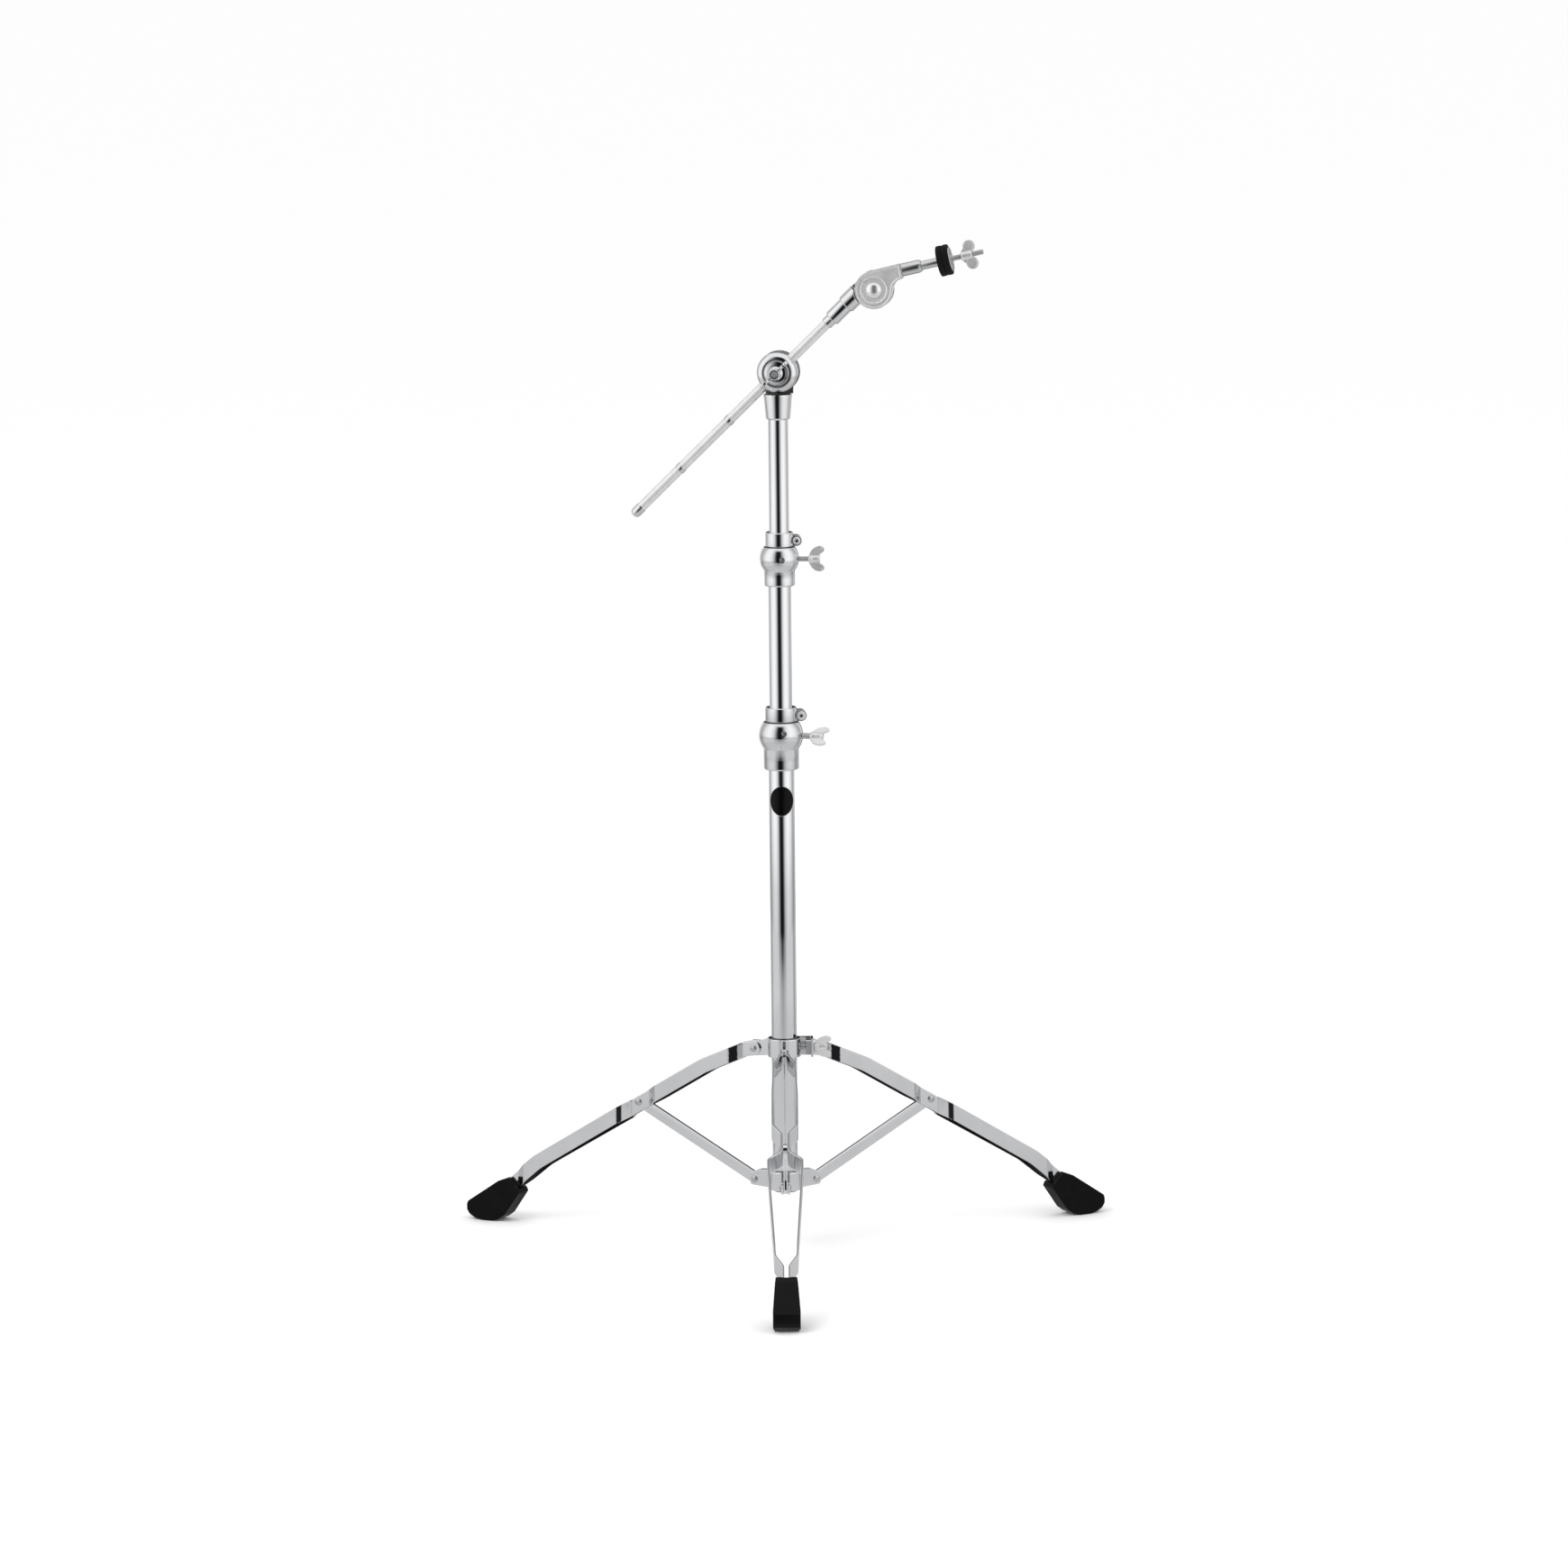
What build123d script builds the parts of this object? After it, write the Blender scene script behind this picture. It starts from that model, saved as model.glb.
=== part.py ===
from build123d import *
from math import sin, cos, radians, degrees, sqrt, atan2
import os

os.makedirs("parts", exist_ok=True)

# ------------------------------------------------------------------ frame (mm)
# +Z is up, the floor is Z = 0, the front leg points along -Y and the cymbal
# post points along +X.  The column stands column_y behind the middle of the
# foot print, so that the origin is the bottom centre of the whole stand.
column_y = 99.497

leg_azimuths = {"front": -90.0, "right": 30.0, "left": 150.0}

# ------------------------------------------------------------------ column tubes
base_r, base_ri = 14.3, 12.9          # 28.6 mm (1 1/8 in) tube
base_z0, base_z1 = 74.0, 590.0
mid_r, mid_ri = 12.7, 11.3            # 25.4 mm (1 in) tube
mid_z0, mid_z1 = 310.0, 790.0
top_r, top_ri = 11.1, 9.7             # 22.2 mm (7/8 in) tube
top_z0, top_z1 = 540.0, 985.0
run = 0.05                            # radial running clearance

# ------------------------------------------------------------------ tripod linkage
pivot_r = 38.0                        # upper and lower pivots, from the column axis
upper_pivot_z = 234.0
lower_pivot_z = 82.0
mid_pivot_r = 192.0
mid_pivot_z = (upper_pivot_z + lower_pivot_z) / 2
rivet_r = 2.5
strip_t = 2.2                         # leg strip thickness
strip_h = 16.6                        # leg strip height
brace_w, brace_h, brace_wall = 4.4, 13.3, 1.2

leg_side = [(38.5, 234.0), (50, 232.0), (100, 210.0), (326, 75.8), (368, 41.5)]
leg_side_radii = [25, 60, 90]
# distance of a strip's centre line from the leg plane, against radius
leg_plan = [(26, 3.7), (52, 3.7), (68, 11.8), (120, 13.9), (163.5, 13.9), (177, 3.7),
            (201, 3.7), (213, 19.4), (344, 12.3), (355.5, 3.3), (368, 3.3)]
leg_plan_radii = [4, 6, 60, 5, 5, 5, 5, 6, 6]

# ------------------------------------------------------------------ clamps
low_clamp_z0, low_clamp_z1, low_ball_z = 559.0, 613.0, 598.0
low_clamp_r, low_ball_r = 19.7, 24.9
low_bolt_z, low_bolt_az, low_bolt_r = 597.5, -15.0, 3.4
up_clamp_z0, up_clamp_z1, up_ball_z = 768.5, 812.5, 799.5
up_clamp_r, up_ball_r = 17.2, 22.0
up_bolt_z, up_bolt_az, up_bolt_r = 798.5, 0.0, 3.0

# ------------------------------------------------------------------ boom head
drum_z = 1010.2
drum_r = 23.25
yaw = radians(9.0)                    # the head faces this far left of the front leg
boom_angle = radians(44.4)            # boom above level
rod_r = 5.65                          # knurled boom rod
land_r = 6.1                          # smooth rings on the boom rod
clamp_bore_r = 6.2
eye_r = 9.5

# ------------------------------------------------------------------ tilter
pivot_s, pivot_p = 144.7, 10.4        # tilter pivot along the boom and off its axis
twist = radians(0.0)                  # tilter turned about the boom axis
bend = radians(31.4)                  # arm bent down from the boom direction
head_R = 21.4
post_y = 14.4                         # cymbal post above the tilter pivot


# ------------------------------------------------------------------ helpers
def level(z, az=0.0):
    a = radians(az)
    return Plane(origin=(0, column_y, z), x_dir=(cos(a), sin(a), 0), z_dir=(0, 0, 1))


def upright(az, z=0.0):
    """plane through the column axis: local x outward at azimuth az, local y up"""
    a = radians(az)
    return Plane(origin=(0, column_y, z), x_dir=(cos(a), sin(a), 0), z_dir=(sin(a), -cos(a), 0))


def outward(az, z, r=0.0):
    """plane square to a radius: local z outward at azimuth az, local x up"""
    a = radians(az)
    return Plane(origin=(r * cos(a), column_y + r * sin(a), z), x_dir=(0, 0, 1), z_dir=(cos(a), sin(a), 0))


def spun_about(plane, turn):
    """the same plane with its local x turned about its normal, in degrees"""
    t = radians(turn)
    return Plane(origin=plane.origin, x_dir=plane.x_dir * cos(t) + plane.y_dir * sin(t), z_dir=plane.z_dir)


def face_of(plane, points):
    with BuildSketch(plane) as sk:
        with BuildLine():
            Polyline(*points, close=True)
        make_face()
    return sk.sketch


def ring_of(plane, ro, ri=0.0):
    with BuildSketch(plane) as sk:
        Circle(ro)
        if ri:
            Circle(ri, mode=Mode.SUBTRACT)
    return sk.sketch


def turned(plane, points):
    """solid of revolution about the plane's local y axis"""
    with BuildPart() as body:
        revolve(face_of(plane, points), axis=Axis(plane.origin, plane.y_dir))
    return body.part


def spindle(plane, points):
    """solid of revolution about the plane's normal; points are (radius, height)"""
    side = Plane(origin=plane.origin, x_dir=plane.x_dir, z_dir=-plane.y_dir)
    with BuildPart() as body:
        revolve(face_of(side, points), axis=Axis(plane.origin, plane.z_dir))
    return body.part


def arc_points(cx, cy, r, a0, a1, n):
    return [(cx + r * cos(radians(a0 + (a1 - a0) * i / n)), cy + r * sin(radians(a0 + (a1 - a0) * i / n)))
            for i in range(n + 1)]


column = Axis((0, column_y, 0), (0, 0, 1))

# the boom head's own frame: x level along the boom, y up, z out to the wing nut
h_dir = Vector(cos(yaw), -sin(yaw), 0)
n_dir = Vector(-sin(yaw), -cos(yaw), 0)
drum_c = Vector(0, column_y, drum_z)
b_dir = h_dir * cos(boom_angle) + Vector(0, 0, 1) * sin(boom_angle)
p_dir = h_dir * sin(boom_angle) - Vector(0, 0, 1) * cos(boom_angle)
tilt_c = drum_c + b_dir * pivot_s + p_dir * pivot_p
m_dir = n_dir * cos(twist) + p_dir * sin(twist)
p2_dir = p_dir * cos(twist) - n_dir * sin(twist)
d_dir = b_dir * cos(bend) + p2_dir * sin(bend)
q_dir = m_dir.cross(d_dir)


def drum_plane(w=0.0, x_dir=None):
    return Plane(origin=drum_c + n_dir * w, x_dir=x_dir or h_dir, z_dir=n_dir)


def boom_plane(s=0.0, x_dir=None):
    """square to the boom: local z along it, local x out to the wing nut"""
    return Plane(origin=drum_c + b_dir * s, x_dir=x_dir or n_dir, z_dir=b_dir)


def tilt_plane(w=0.0):
    """tilter head: local x along the arm, local y up, local z out of its face"""
    return Plane(origin=tilt_c + m_dir * w, x_dir=d_dir, z_dir=m_dir)


def yoke_plane(w=0.0):
    return Plane(origin=tilt_c + m_dir * w, x_dir=b_dir, z_dir=m_dir)


def post_plane(x=0.0):
    """square to the cymbal post: local z along it"""
    return Plane(origin=tilt_c + q_dir * post_y + d_dir * x, x_dir=m_dir, z_dir=d_dir)


def wing_outline(r0, r1, z0, z1):
    """one wing of a wing screw: hub radius r0 to tip radius r1, heights z0 to z1"""
    s = (r1 - r0) / 10.0
    k = (z1 - z0) / 18.0
    return [(r0 * 0.3, z0 + 0.5 * k), (r0 + 0.8 * s, z0 + 0.8 * k), (r0 + 5.6 * s, z0 + 3.6 * k),
            (r0 + 8.8 * s, z0 + 7.4 * k), (r1, z0 + 11.6 * k), (r1 - 0.4 * s, z0 + 15.0 * k), (r1 - 2.4 * s, z1 - 0.4 * k),
            (r0 + 5.0 * s, z1), (r0 + 2.6 * s, z1 - 2.0 * k), (r0 + 1.0 * s, z1 - 5.0 * k), (r0 * 0.3, z1 - 5.6 * k)]


def wings(plane, r0, r1, z0, z1, t):
    """a pair of wings in the plane of local x and local z"""
    side = Plane(origin=plane.origin, x_dir=plane.x_dir, z_dir=-plane.y_dir)
    with BuildPart() as body:
        with BuildSketch(side):
            with BuildLine():
                Polyline(*wing_outline(r0, r1, z0, z1), close=True)
            make_face()
            mirror(about=Plane.YZ)
        extrude(amount=t / 2, both=True)
    return body.part


# ================================================================== base column
with BuildPart() as base_tube:
    with BuildSketch(level(base_z0)):
        Circle(base_r)
        Circle(base_ri, mode=Mode.SUBTRACT)
    extrude(amount=base_z1 - base_z0)
base_tube.part.label = "base_tube"
export_step(base_tube.part, "parts/base_tube.step")

with BuildPart() as tube_end_cap:
    add(turned(upright(0), [(0, 71.5), (13.4, 71.5), (14.3, 72.3), (14.3, 74.0), (base_ri, 74.0),
                            (base_ri - 0.4, 84.0), (10.6, 84.0), (10.6, 74.5), (0, 74.5)]))
tube_end_cap.part.label = "tube_end_cap"
export_step(tube_end_cap.part, "parts/tube_end_cap.step")

# ---- lower bracket: a collar with three pairs of ears for the braces
ear_in, ear_t = 2.5, 2.6
with BuildPart() as brace_bracket:
    add(turned(upright(0), [(base_r, 73.5), (18.3, 73.5), (18.9, 74.3), (18.9, 94.4), (18.1, 95.4), (base_r, 95.4)]))
    for az in leg_azimuths.values():
        with BuildSketch(upright(az)) as ear:
            with BuildLine():
                FilletPolyline((16.4, 73.8), (43.6, 75.4), (44.8, 88.5), (34, 93.6), (16.4, 94.9), radius=3, close=False)
                Line((16.4, 94.9), (16.4, 73.8))
            make_face()
        extrude(ear.sketch, amount=ear_in + ear_t, both=True)
    for az in leg_azimuths.values():
        with BuildSketch(upright(az)) as gap:
            with BuildLine():
                Polyline((19.4, 60), (60, 60), (60, 120), (19.4, 120), close=True)
            make_face()
        extrude(gap.sketch, amount=ear_in, both=True, mode=Mode.SUBTRACT)
    with BuildSketch(level(70)) as bore:
        Circle(base_r)
    extrude(bore.sketch, amount=30, mode=Mode.SUBTRACT)
    for az in leg_azimuths.values():
        with BuildSketch(upright(az)) as hole:
            with Locations((pivot_r, lower_pivot_z)):
                Circle(rivet_r)
        extrude(hole.sketch, amount=9, both=True, mode=Mode.SUBTRACT)
brace_bracket.part.label = "brace_bracket"
export_step(brace_bracket.part, "parts/brace_bracket.step")


def rivets(az, r, z, half, head_r=4.1, head_h=2.1):
    """a domed rivet across a leg plane, with a rolled tail on the far side"""
    plane = upright(az)
    centre = plane.from_local_coords(Vector(r, z, 0))
    # the heads of the two back legs both face the front
    across = Plane(origin=centre, x_dir=plane.x_dir, z_dir=plane.z_dir * (-1 if az > 90 else 1))
    g = 0.08
    dome = arc_points(0, half + g, head_r, 0, 80, 7)
    dome = [(x, half + g + (y - half - g) * head_h / head_r) for x, y in dome]
    tail = [(2.2, -half - g - 0.6), (1.5, -half - g - 1.3), (3.0, -half - g - 1.5), (3.7, -half - g - 0.9), (3.7, -half - g)]
    prof = [(0, half + g + head_h)] + dome[::-1] + [(rivet_r, half + g), (rivet_r, -half - g)] + tail[::-1] \
        + [(0, -half - g - 0.6)]
    return spindle(across, prof)


with BuildPart() as brace_rivets:
    for az in leg_azimuths.values():
        add(rivets(az, pivot_r, lower_pivot_z, ear_in + ear_t))
brace_rivets.part.label = "brace_rivets"
export_step(brace_rivets.part, "parts/brace_rivets.step")


# ---- height clamps: collar, ball-shaped body and plastic bush
def ball_profile(z0, z1, rc, rb, zb, ri):
    a0 = degrees(atan2(-sqrt(rb * rb - rc * rc), rc))
    a1 = degrees(atan2(z1 - zb, sqrt(rb * rb - (z1 - zb) ** 2)))
    arc = arc_points(0, zb, rb, a0, a1, 26)
    lip = arc[-1]
    return [(ri, z0), (rc - 1.4, z0), (rc - 0.4, z0 + 0.5), (rc, z0 + 1.6)] + arc + \
        [(lip[0] - 1.0, z1 + 0.0), (ri + 0.6, z1 + 0.0), (ri, z1 - 0.6)]


with BuildPart() as lower_clamp_body:
    add(turned(upright(0), ball_profile(low_clamp_z0, low_clamp_z1, low_clamp_r, low_ball_r, low_ball_z, base_r)))
    # screw hole for the wing screw, and the small screw hole in front
    with Locations(outward(low_bolt_az, low_bolt_z)):
        Cylinder(low_bolt_r + run, 60, align=(Align.CENTER, Align.CENTER, Align.MIN), mode=Mode.SUBTRACT)
    with Locations(outward(-82.5, 602.0)):
        Cylinder(2.7, 60, align=(Align.CENTER, Align.CENTER, Align.MIN), mode=Mode.SUBTRACT)
lower_clamp_body.part.label = "lower_clamp_body"
export_step(lower_clamp_body.part, "parts/lower_clamp_body.step")

with BuildPart() as lower_clamp_bush:
    add(turned(upright(0), [(mid_r + run, base_z1), (base_r, base_z1), (base_r, 612.4),
                            (mid_r + run + 0.5, 612.4), (mid_r + run, 611.9)]))
lower_clamp_bush.part.label = "lower_clamp_bush"
export_step(lower_clamp_bush.part, "parts/lower_clamp_bush.step")


def clamp_set_screw(az, z, r_face):
    return spindle(outward(az, z), [(0, r_face - 5.5), (2.7, r_face - 5.5), (2.7, r_face - 1.9), (2.2, r_face - 1.4),
                                    (1.3, r_face - 1.4), (1.3, r_face - 3.6), (0, r_face - 3.6)])


with BuildPart() as lower_set_screw:
    add(clamp_set_screw(-82.5, 602.0, 22.8))
lower_set_screw.part.label = "lower_set_screw"
export_step(lower_set_screw.part, "parts/lower_set_screw.step")


def wing_screw(az, z, r_tip, r_hub, shaft_r, hub_r, hub_len, turn, wing_r, wing_top, t):
    """screw shaft, turned hub and two wings on a radius of the column"""
    plane = outward(az, z)
    spun = spun_about(plane, turn)
    with BuildPart() as body:
        add(spindle(plane, [(0, r_tip), (shaft_r - 0.7, r_tip), (shaft_r, r_tip + 0.8), (shaft_r, r_hub),
                            (hub_r - 1.0, r_hub), (hub_r, r_hub + 3.0), (hub_r, r_hub + hub_len - 0.8),
                            (hub_r - 0.8, r_hub + hub_len), (hub_r - 2.2, r_hub + hub_len),
                            (hub_r - 2.6, r_hub + hub_len - 0.7), (0, r_hub + hub_len - 0.7)]))
        add(wings(spun, hub_r, wing_r, r_hub + 0.4, r_hub + wing_top, t))
    return body.part


with BuildPart() as lower_wing_screw:
    add(wing_screw(low_bolt_az, low_bolt_z, 14.6, 34.0, low_bolt_r, 5.0, 15.2, -56, 14.6, 20.4, 3.2))
lower_wing_screw.part.label = "lower_wing_screw"
export_step(lower_wing_screw.part, "parts/lower_wing_screw.step")

# ---- badge: a thin curved oval plate on the front of the base tube
with BuildPart() as badge:
    with BuildSketch(level(500)) as shell:
        Circle(base_r + 0.5)
        Circle(base_r, mode=Mode.SUBTRACT)
    extrude(shell.sketch, amount=48)
    with BuildSketch(Plane(origin=(0, column_y, 524), x_dir=(1, 0, 0), z_dir=(0, -1, 0))) as oval:
        Ellipse(13.2, 17.3)
    extrude(oval.sketch, amount=30, mode=Mode.INTERSECT)
badge.part.label = "badge"
export_step(badge.part, "parts/badge.step")

# ================================================================== leg bracket (slides on the base tube)
brk_z0, brk_z1 = 227.6, 249.4
lock_z = 238.4
tab_t = 2.3
with BuildPart() as leg_bracket:
    add(turned(upright(0), [(16.4, brk_z0), (18.2, brk_z0), (18.8, brk_z0 + 0.7), (18.8, brk_z1 - 0.7),
                            (18.2, brk_z1), (16.4, brk_z1)]))
    for az in leg_azimuths.values():
        with BuildSketch(upright(az)) as tab:
            with BuildLine():
                FilletPolyline((17.4, brk_z0 + 0.3), (30.0, 226.2), (44.0, 224.6), (46.6, 236.0), (42.0, 243.4), (30.0, 243.8),
                               (17.4, brk_z1 - 0.3), radius=3.5, close=False)
                Line((17.4, brk_z1 - 0.3), (17.4, brk_z0 + 0.3))
            make_face()
            with Locations((pivot_r, upper_pivot_z)):
                Circle(rivet_r, mode=Mode.SUBTRACT)
        extrude(tab.sketch, amount=tab_t, both=True)
    # open box on the +X side: back wall and end plate, bent from the collar
    with BuildSketch(level(brk_z0)) as box:
        with BuildLine():
            Polyline((15.4, 6.4), (30.6, 6.4), (30.6, -8.6), (33.0, -8.6), (33.0, 8.0), (32.2, 8.8), (15.4, 8.8), close=True)
        make_face()
    extrude(box.sketch, amount=brk_z1 - brk_z0)
    with BuildSketch(level(brk_z0 - 1)) as core:
        Circle(16.4)
    extrude(core.sketch, amount=brk_z1 - brk_z0 + 2, mode=Mode.SUBTRACT)
    with Locations(outward(0, lock_z)):
        Cylinder(4.05, 60, align=(Align.CENTER, Align.CENTER, Align.MIN), mode=Mode.SUBTRACT)
leg_bracket.part.label = "leg_bracket"
export_step(leg_bracket.part, "parts/leg_bracket.step")

with BuildPart() as leg_bracket_bush:
    add(turned(upright(0), [(base_r + run, brk_z0 - 0.3), (16.4, brk_z0 - 0.3), (16.4, brk_z1 + 0.4),
                            (base_r + run, brk_z1 + 0.4)]))
    with Locations(outward(0, lock_z)):
        Cylinder(4.05, 60, align=(Align.CENTER, Align.CENTER, Align.MIN), mode=Mode.SUBTRACT)
leg_bracket_bush.part.label = "leg_bracket_bush"
export_step(leg_bracket_bush.part, "parts/leg_bracket_bush.step")

with BuildPart() as leg_lock_nut:
    with BuildSketch(Plane(origin=(24.6, column_y, lock_z), x_dir=(0, 1, 0), z_dir=(1, 0, 0))):
        Rectangle(12.6, 17.0)
        Circle(3.9 + run, mode=Mode.SUBTRACT)
    extrude(amount=5.9)
    chamfer(leg_lock_nut.edges().filter_by(Axis.X), 1.0)
leg_lock_nut.part.label = "leg_lock_nut"
export_step(leg_lock_nut.part, "parts/leg_lock_nut.step")

with BuildPart() as leg_pivot_rivets:
    for az in leg_azimuths.values():
        add(rivets(az, pivot_r, upper_pivot_z, 2.6 + strip_t))
leg_pivot_rivets.part.label = "leg_pivot_rivets"
export_step(leg_pivot_rivets.part, "parts/leg_pivot_rivets.step")

with BuildPart() as leg_wing_screw:
    add(wing_screw(0, lock_z, 14.6, 34.2, 3.9, 5.0, 14.6, 24, 14.2, 19.6, 3.2))
leg_wing_screw.part.label = "leg_wing_screw"
export_step(leg_wing_screw.part, "parts/leg_wing_screw.step")


# ================================================================== legs
def strip(az, side):
    """one bent leg strip: its side outline crossed with its plan outline"""
    with BuildPart() as body:
        with BuildSketch(Plane(origin=(0, column_y, 20), x_dir=upright(az).x_dir, z_dir=(0, 0, 1))) as plan:
            with BuildLine():
                FilletPolyline(*[(r, side * t) for r, t in leg_plan], radius=leg_plan_radii)
            trace(line_width=strip_t)
        extrude(plan.sketch, amount=240)
        with BuildSketch(upright(az)) as outline:
            with BuildLine():
                FilletPolyline(*leg_side, radius=leg_side_radii)
            trace(line_width=strip_h)
            with Locations(leg_side[0]):
                Circle(strip_h / 2)
        extrude(outline.sketch, amount=40, both=True, mode=Mode.INTERSECT)
        with BuildSketch(upright(az)) as holes:
            with Locations((pivot_r, upper_pivot_z)):
                Circle(rivet_r + run)
            with Locations((mid_pivot_r, mid_pivot_z)):
                Circle(rivet_r)
        extrude(holes.sketch, amount=9, both=True, mode=Mode.SUBTRACT)
    return body.part


# side outline of a rubber foot, in the leg plane
foot_outline = [(352.6, 35.6), (354.4, 39.6), (367.6, 52.2), (379.6, 48.6), (420.2, 21.4), (422.4, 17.2), (422.2, 11.6),
                (418.6, 6.4), (411.0, 2.2), (402.0, 0.0), (389.0, 0.0), (380.6, 2.4), (372.4, 8.2)]
foot_plan = [(344, 11.2), (366, 11.9), (394, 13.9), (415, 15.3), (421, 14.9), (425, 12.6)]

for name, az in leg_azimuths.items():
    for side, tag in ((1, "strip_a"), (-1, "strip_b")):
        with BuildPart() as leg_strip:
            add(strip(az, side))
        leg_strip.part.label = name + "_leg_" + tag
        export_step(leg_strip.part, "parts/" + name + "_leg_" + tag + ".step")

    with BuildPart() as leg_rivet:
        add(rivets(az, mid_pivot_r, mid_pivot_z, 2.6 + strip_t, head_r=4.3))
    leg_rivet.part.label = name + "_leg_rivet"
    export_step(leg_rivet.part, "parts/" + name + "_leg_rivet.step")

    with BuildPart() as foot:
        add(extrude(face_of(upright(az), foot_outline), amount=18, both=True))
        plan_pts = foot_plan + [(r, -t) for r, t in reversed(foot_plan)]
        plan_face = face_of(Plane(origin=(0, column_y, -5), x_dir=upright(az).x_dir, z_dir=(0, 0, 1)), plan_pts)
        extrude(plan_face, amount=70, mode=Mode.INTERSECT)
        # slot for the two strip ends
        with BuildSketch(upright(az)) as slot:
            with BuildLine():
                FilletPolyline(*leg_side, radius=leg_side_radii)
            trace(line_width=strip_h)
        with BuildPart(mode=Mode.PRIVATE) as pocket:
            extrude(slot.sketch, amount=16, both=True)
            half = [(334, 14.6), (343, 14.6), (348, 11.6), (357.6, 4.6), (360, 4.42), (374, 4.42)]
            funnel = face_of(Plane(origin=(0, column_y, -5), x_dir=upright(az).x_dir, z_dir=(0, 0, 1)),
                             half + [(r, -t) for r, t in reversed(half)])
            extrude(funnel, amount=90, mode=Mode.INTERSECT)
        add(pocket.part, mode=Mode.SUBTRACT)
    foot.part.label = name + "_foot"
    export_step(foot.part, "parts/" + name + "_foot.step")

    # brace: an open channel between the lower bracket and the leg
    with BuildPart() as brace:
        with BuildSketch(upright(az)) as flat:
            with BuildLine():
                Line((pivot_r, lower_pivot_z), (mid_pivot_r, mid_pivot_z))
            trace(line_width=brace_h)
            with Locations((pivot_r, lower_pivot_z), (mid_pivot_r, mid_pivot_z)):
                Circle(brace_h / 2)
                Circle(rivet_r + run, mode=Mode.SUBTRACT)
        extrude(flat.sketch, amount=brace_w / 2, both=True)
        ux = (mid_pivot_r - pivot_r)
        uz = (mid_pivot_z - lower_pivot_z)
        ul = sqrt(ux * ux + uz * uz)
        ux, uz = ux / ul, uz / ul
        # the hollow of the channel is open along the underside
        lo, hi = -20, brace_h / 2 - brace_wall
        corners = [(14, lo), (ul - 14, lo), (ul - 14, hi), (14, hi)]
        hollow = [(pivot_r + ux * s - uz * v, lower_pivot_z + uz * s + ux * v) for s, v in corners]
        extrude(face_of(upright(az), hollow), amount=brace_w / 2 - brace_wall, both=True, mode=Mode.SUBTRACT)
    brace.part.label = name + "_brace"
    export_step(brace.part, "parts/" + name + "_brace.step")


# ================================================================== memory rings
def memory_ring(z0, z1, ri, ro, lug_x, lug_z, lug_r, az):
    with BuildPart() as body:
        add(turned(upright(az), [(ri, z0), (ro, z0), (ro, z1 - 0.7), (ro - 0.7, z1), (ri, z1)]))
        with BuildSketch(upright(az)) as lug:
            with Locations((lug_x, lug_z)):
                Circle(lug_r)
            with BuildLine():
                Polyline((ri + 1, lug_z - lug_r), (lug_x, lug_z - lug_r), (lug_x, lug_z + lug_r), (ri + 1, lug_z + lug_r), close=True)
            make_face()
        extrude(lug.sketch, amount=5.6, both=True)
        with BuildSketch(level(z0 - 5)) as bore:
            Circle(ri)
        extrude(bore.sketch, amount=z1 - z0 + 10, mode=Mode.SUBTRACT)
        # slit and screw hole
        with BuildSketch(upright(az)) as slit:
            with BuildLine():
                Polyline((ri - 2, z0 - 4), (lug_x + 12, z0 - 4), (lug_x + 12, z1 + 4), (ri - 2, z1 + 4), close=True)
            make_face()
        extrude(slit.sketch, amount=0.8, both=True, mode=Mode.SUBTRACT)
        with BuildSketch(upright(az)) as hole:
            with Locations((lug_x, lug_z)):
                Circle(2.0)
        extrude(hole.sketch, amount=20, both=True, mode=Mode.SUBTRACT)
    return body.part


def memory_screw(lug_x, lug_z, az, head_r):
    plane = upright(az)
    across = Plane(origin=plane.from_local_coords(Vector(lug_x, lug_z, 0)), x_dir=plane.x_dir, z_dir=plane.z_dir)
    with BuildPart() as body:
        add(spindle(across, [(0, -8.6), (1.6, -8.6), (2.0, -8.0), (2.0, 5.6), (head_r, 5.6), (head_r, 7.6),
                             (head_r - 0.8, 8.6), (0, 8.6)]))
        # hexagon key recess
        with BuildSketch(Plane(origin=across.origin + across.z_dir * 6.6, x_dir=across.x_dir, z_dir=across.z_dir)) as socket:
            RegularPolygon(1.9, 6)
        extrude(socket.sketch, amount=4, mode=Mode.SUBTRACT)
        # hexagon nut on the back
        with BuildSketch(Plane(origin=across.origin - across.z_dir * 8.0, x_dir=across.x_dir, z_dir=across.z_dir)) as nut:
            RegularPolygon(3.7, 6)
        extrude(nut.sketch, amount=2.4)
    return body.part


low_ring_az, up_ring_az = 6.0, 4.0
with BuildPart() as lower_memory_ring:
    add(memory_ring(613.15, 630.0, mid_r + run, 17.7, 22.4, 620.3, 6.6, low_ring_az))
lower_memory_ring.part.label = "lower_memory_ring"
export_step(lower_memory_ring.part, "parts/lower_memory_ring.step")

with BuildPart() as lower_memory_screw:
    add(memory_screw(22.4, 620.3, low_ring_az, 5.0))
lower_memory_screw.part.label = "lower_memory_screw"
export_step(lower_memory_screw.part, "parts/lower_memory_screw.step")

# ================================================================== middle section
with BuildPart() as middle_tube:
    with BuildSketch(level(mid_z0)):
        Circle(mid_r)
        Circle(mid_ri, mode=Mode.SUBTRACT)
    extrude(amount=mid_z1 - mid_z0)
middle_tube.part.label = "middle_tube"
export_step(middle_tube.part, "parts/middle_tube.step")

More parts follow.
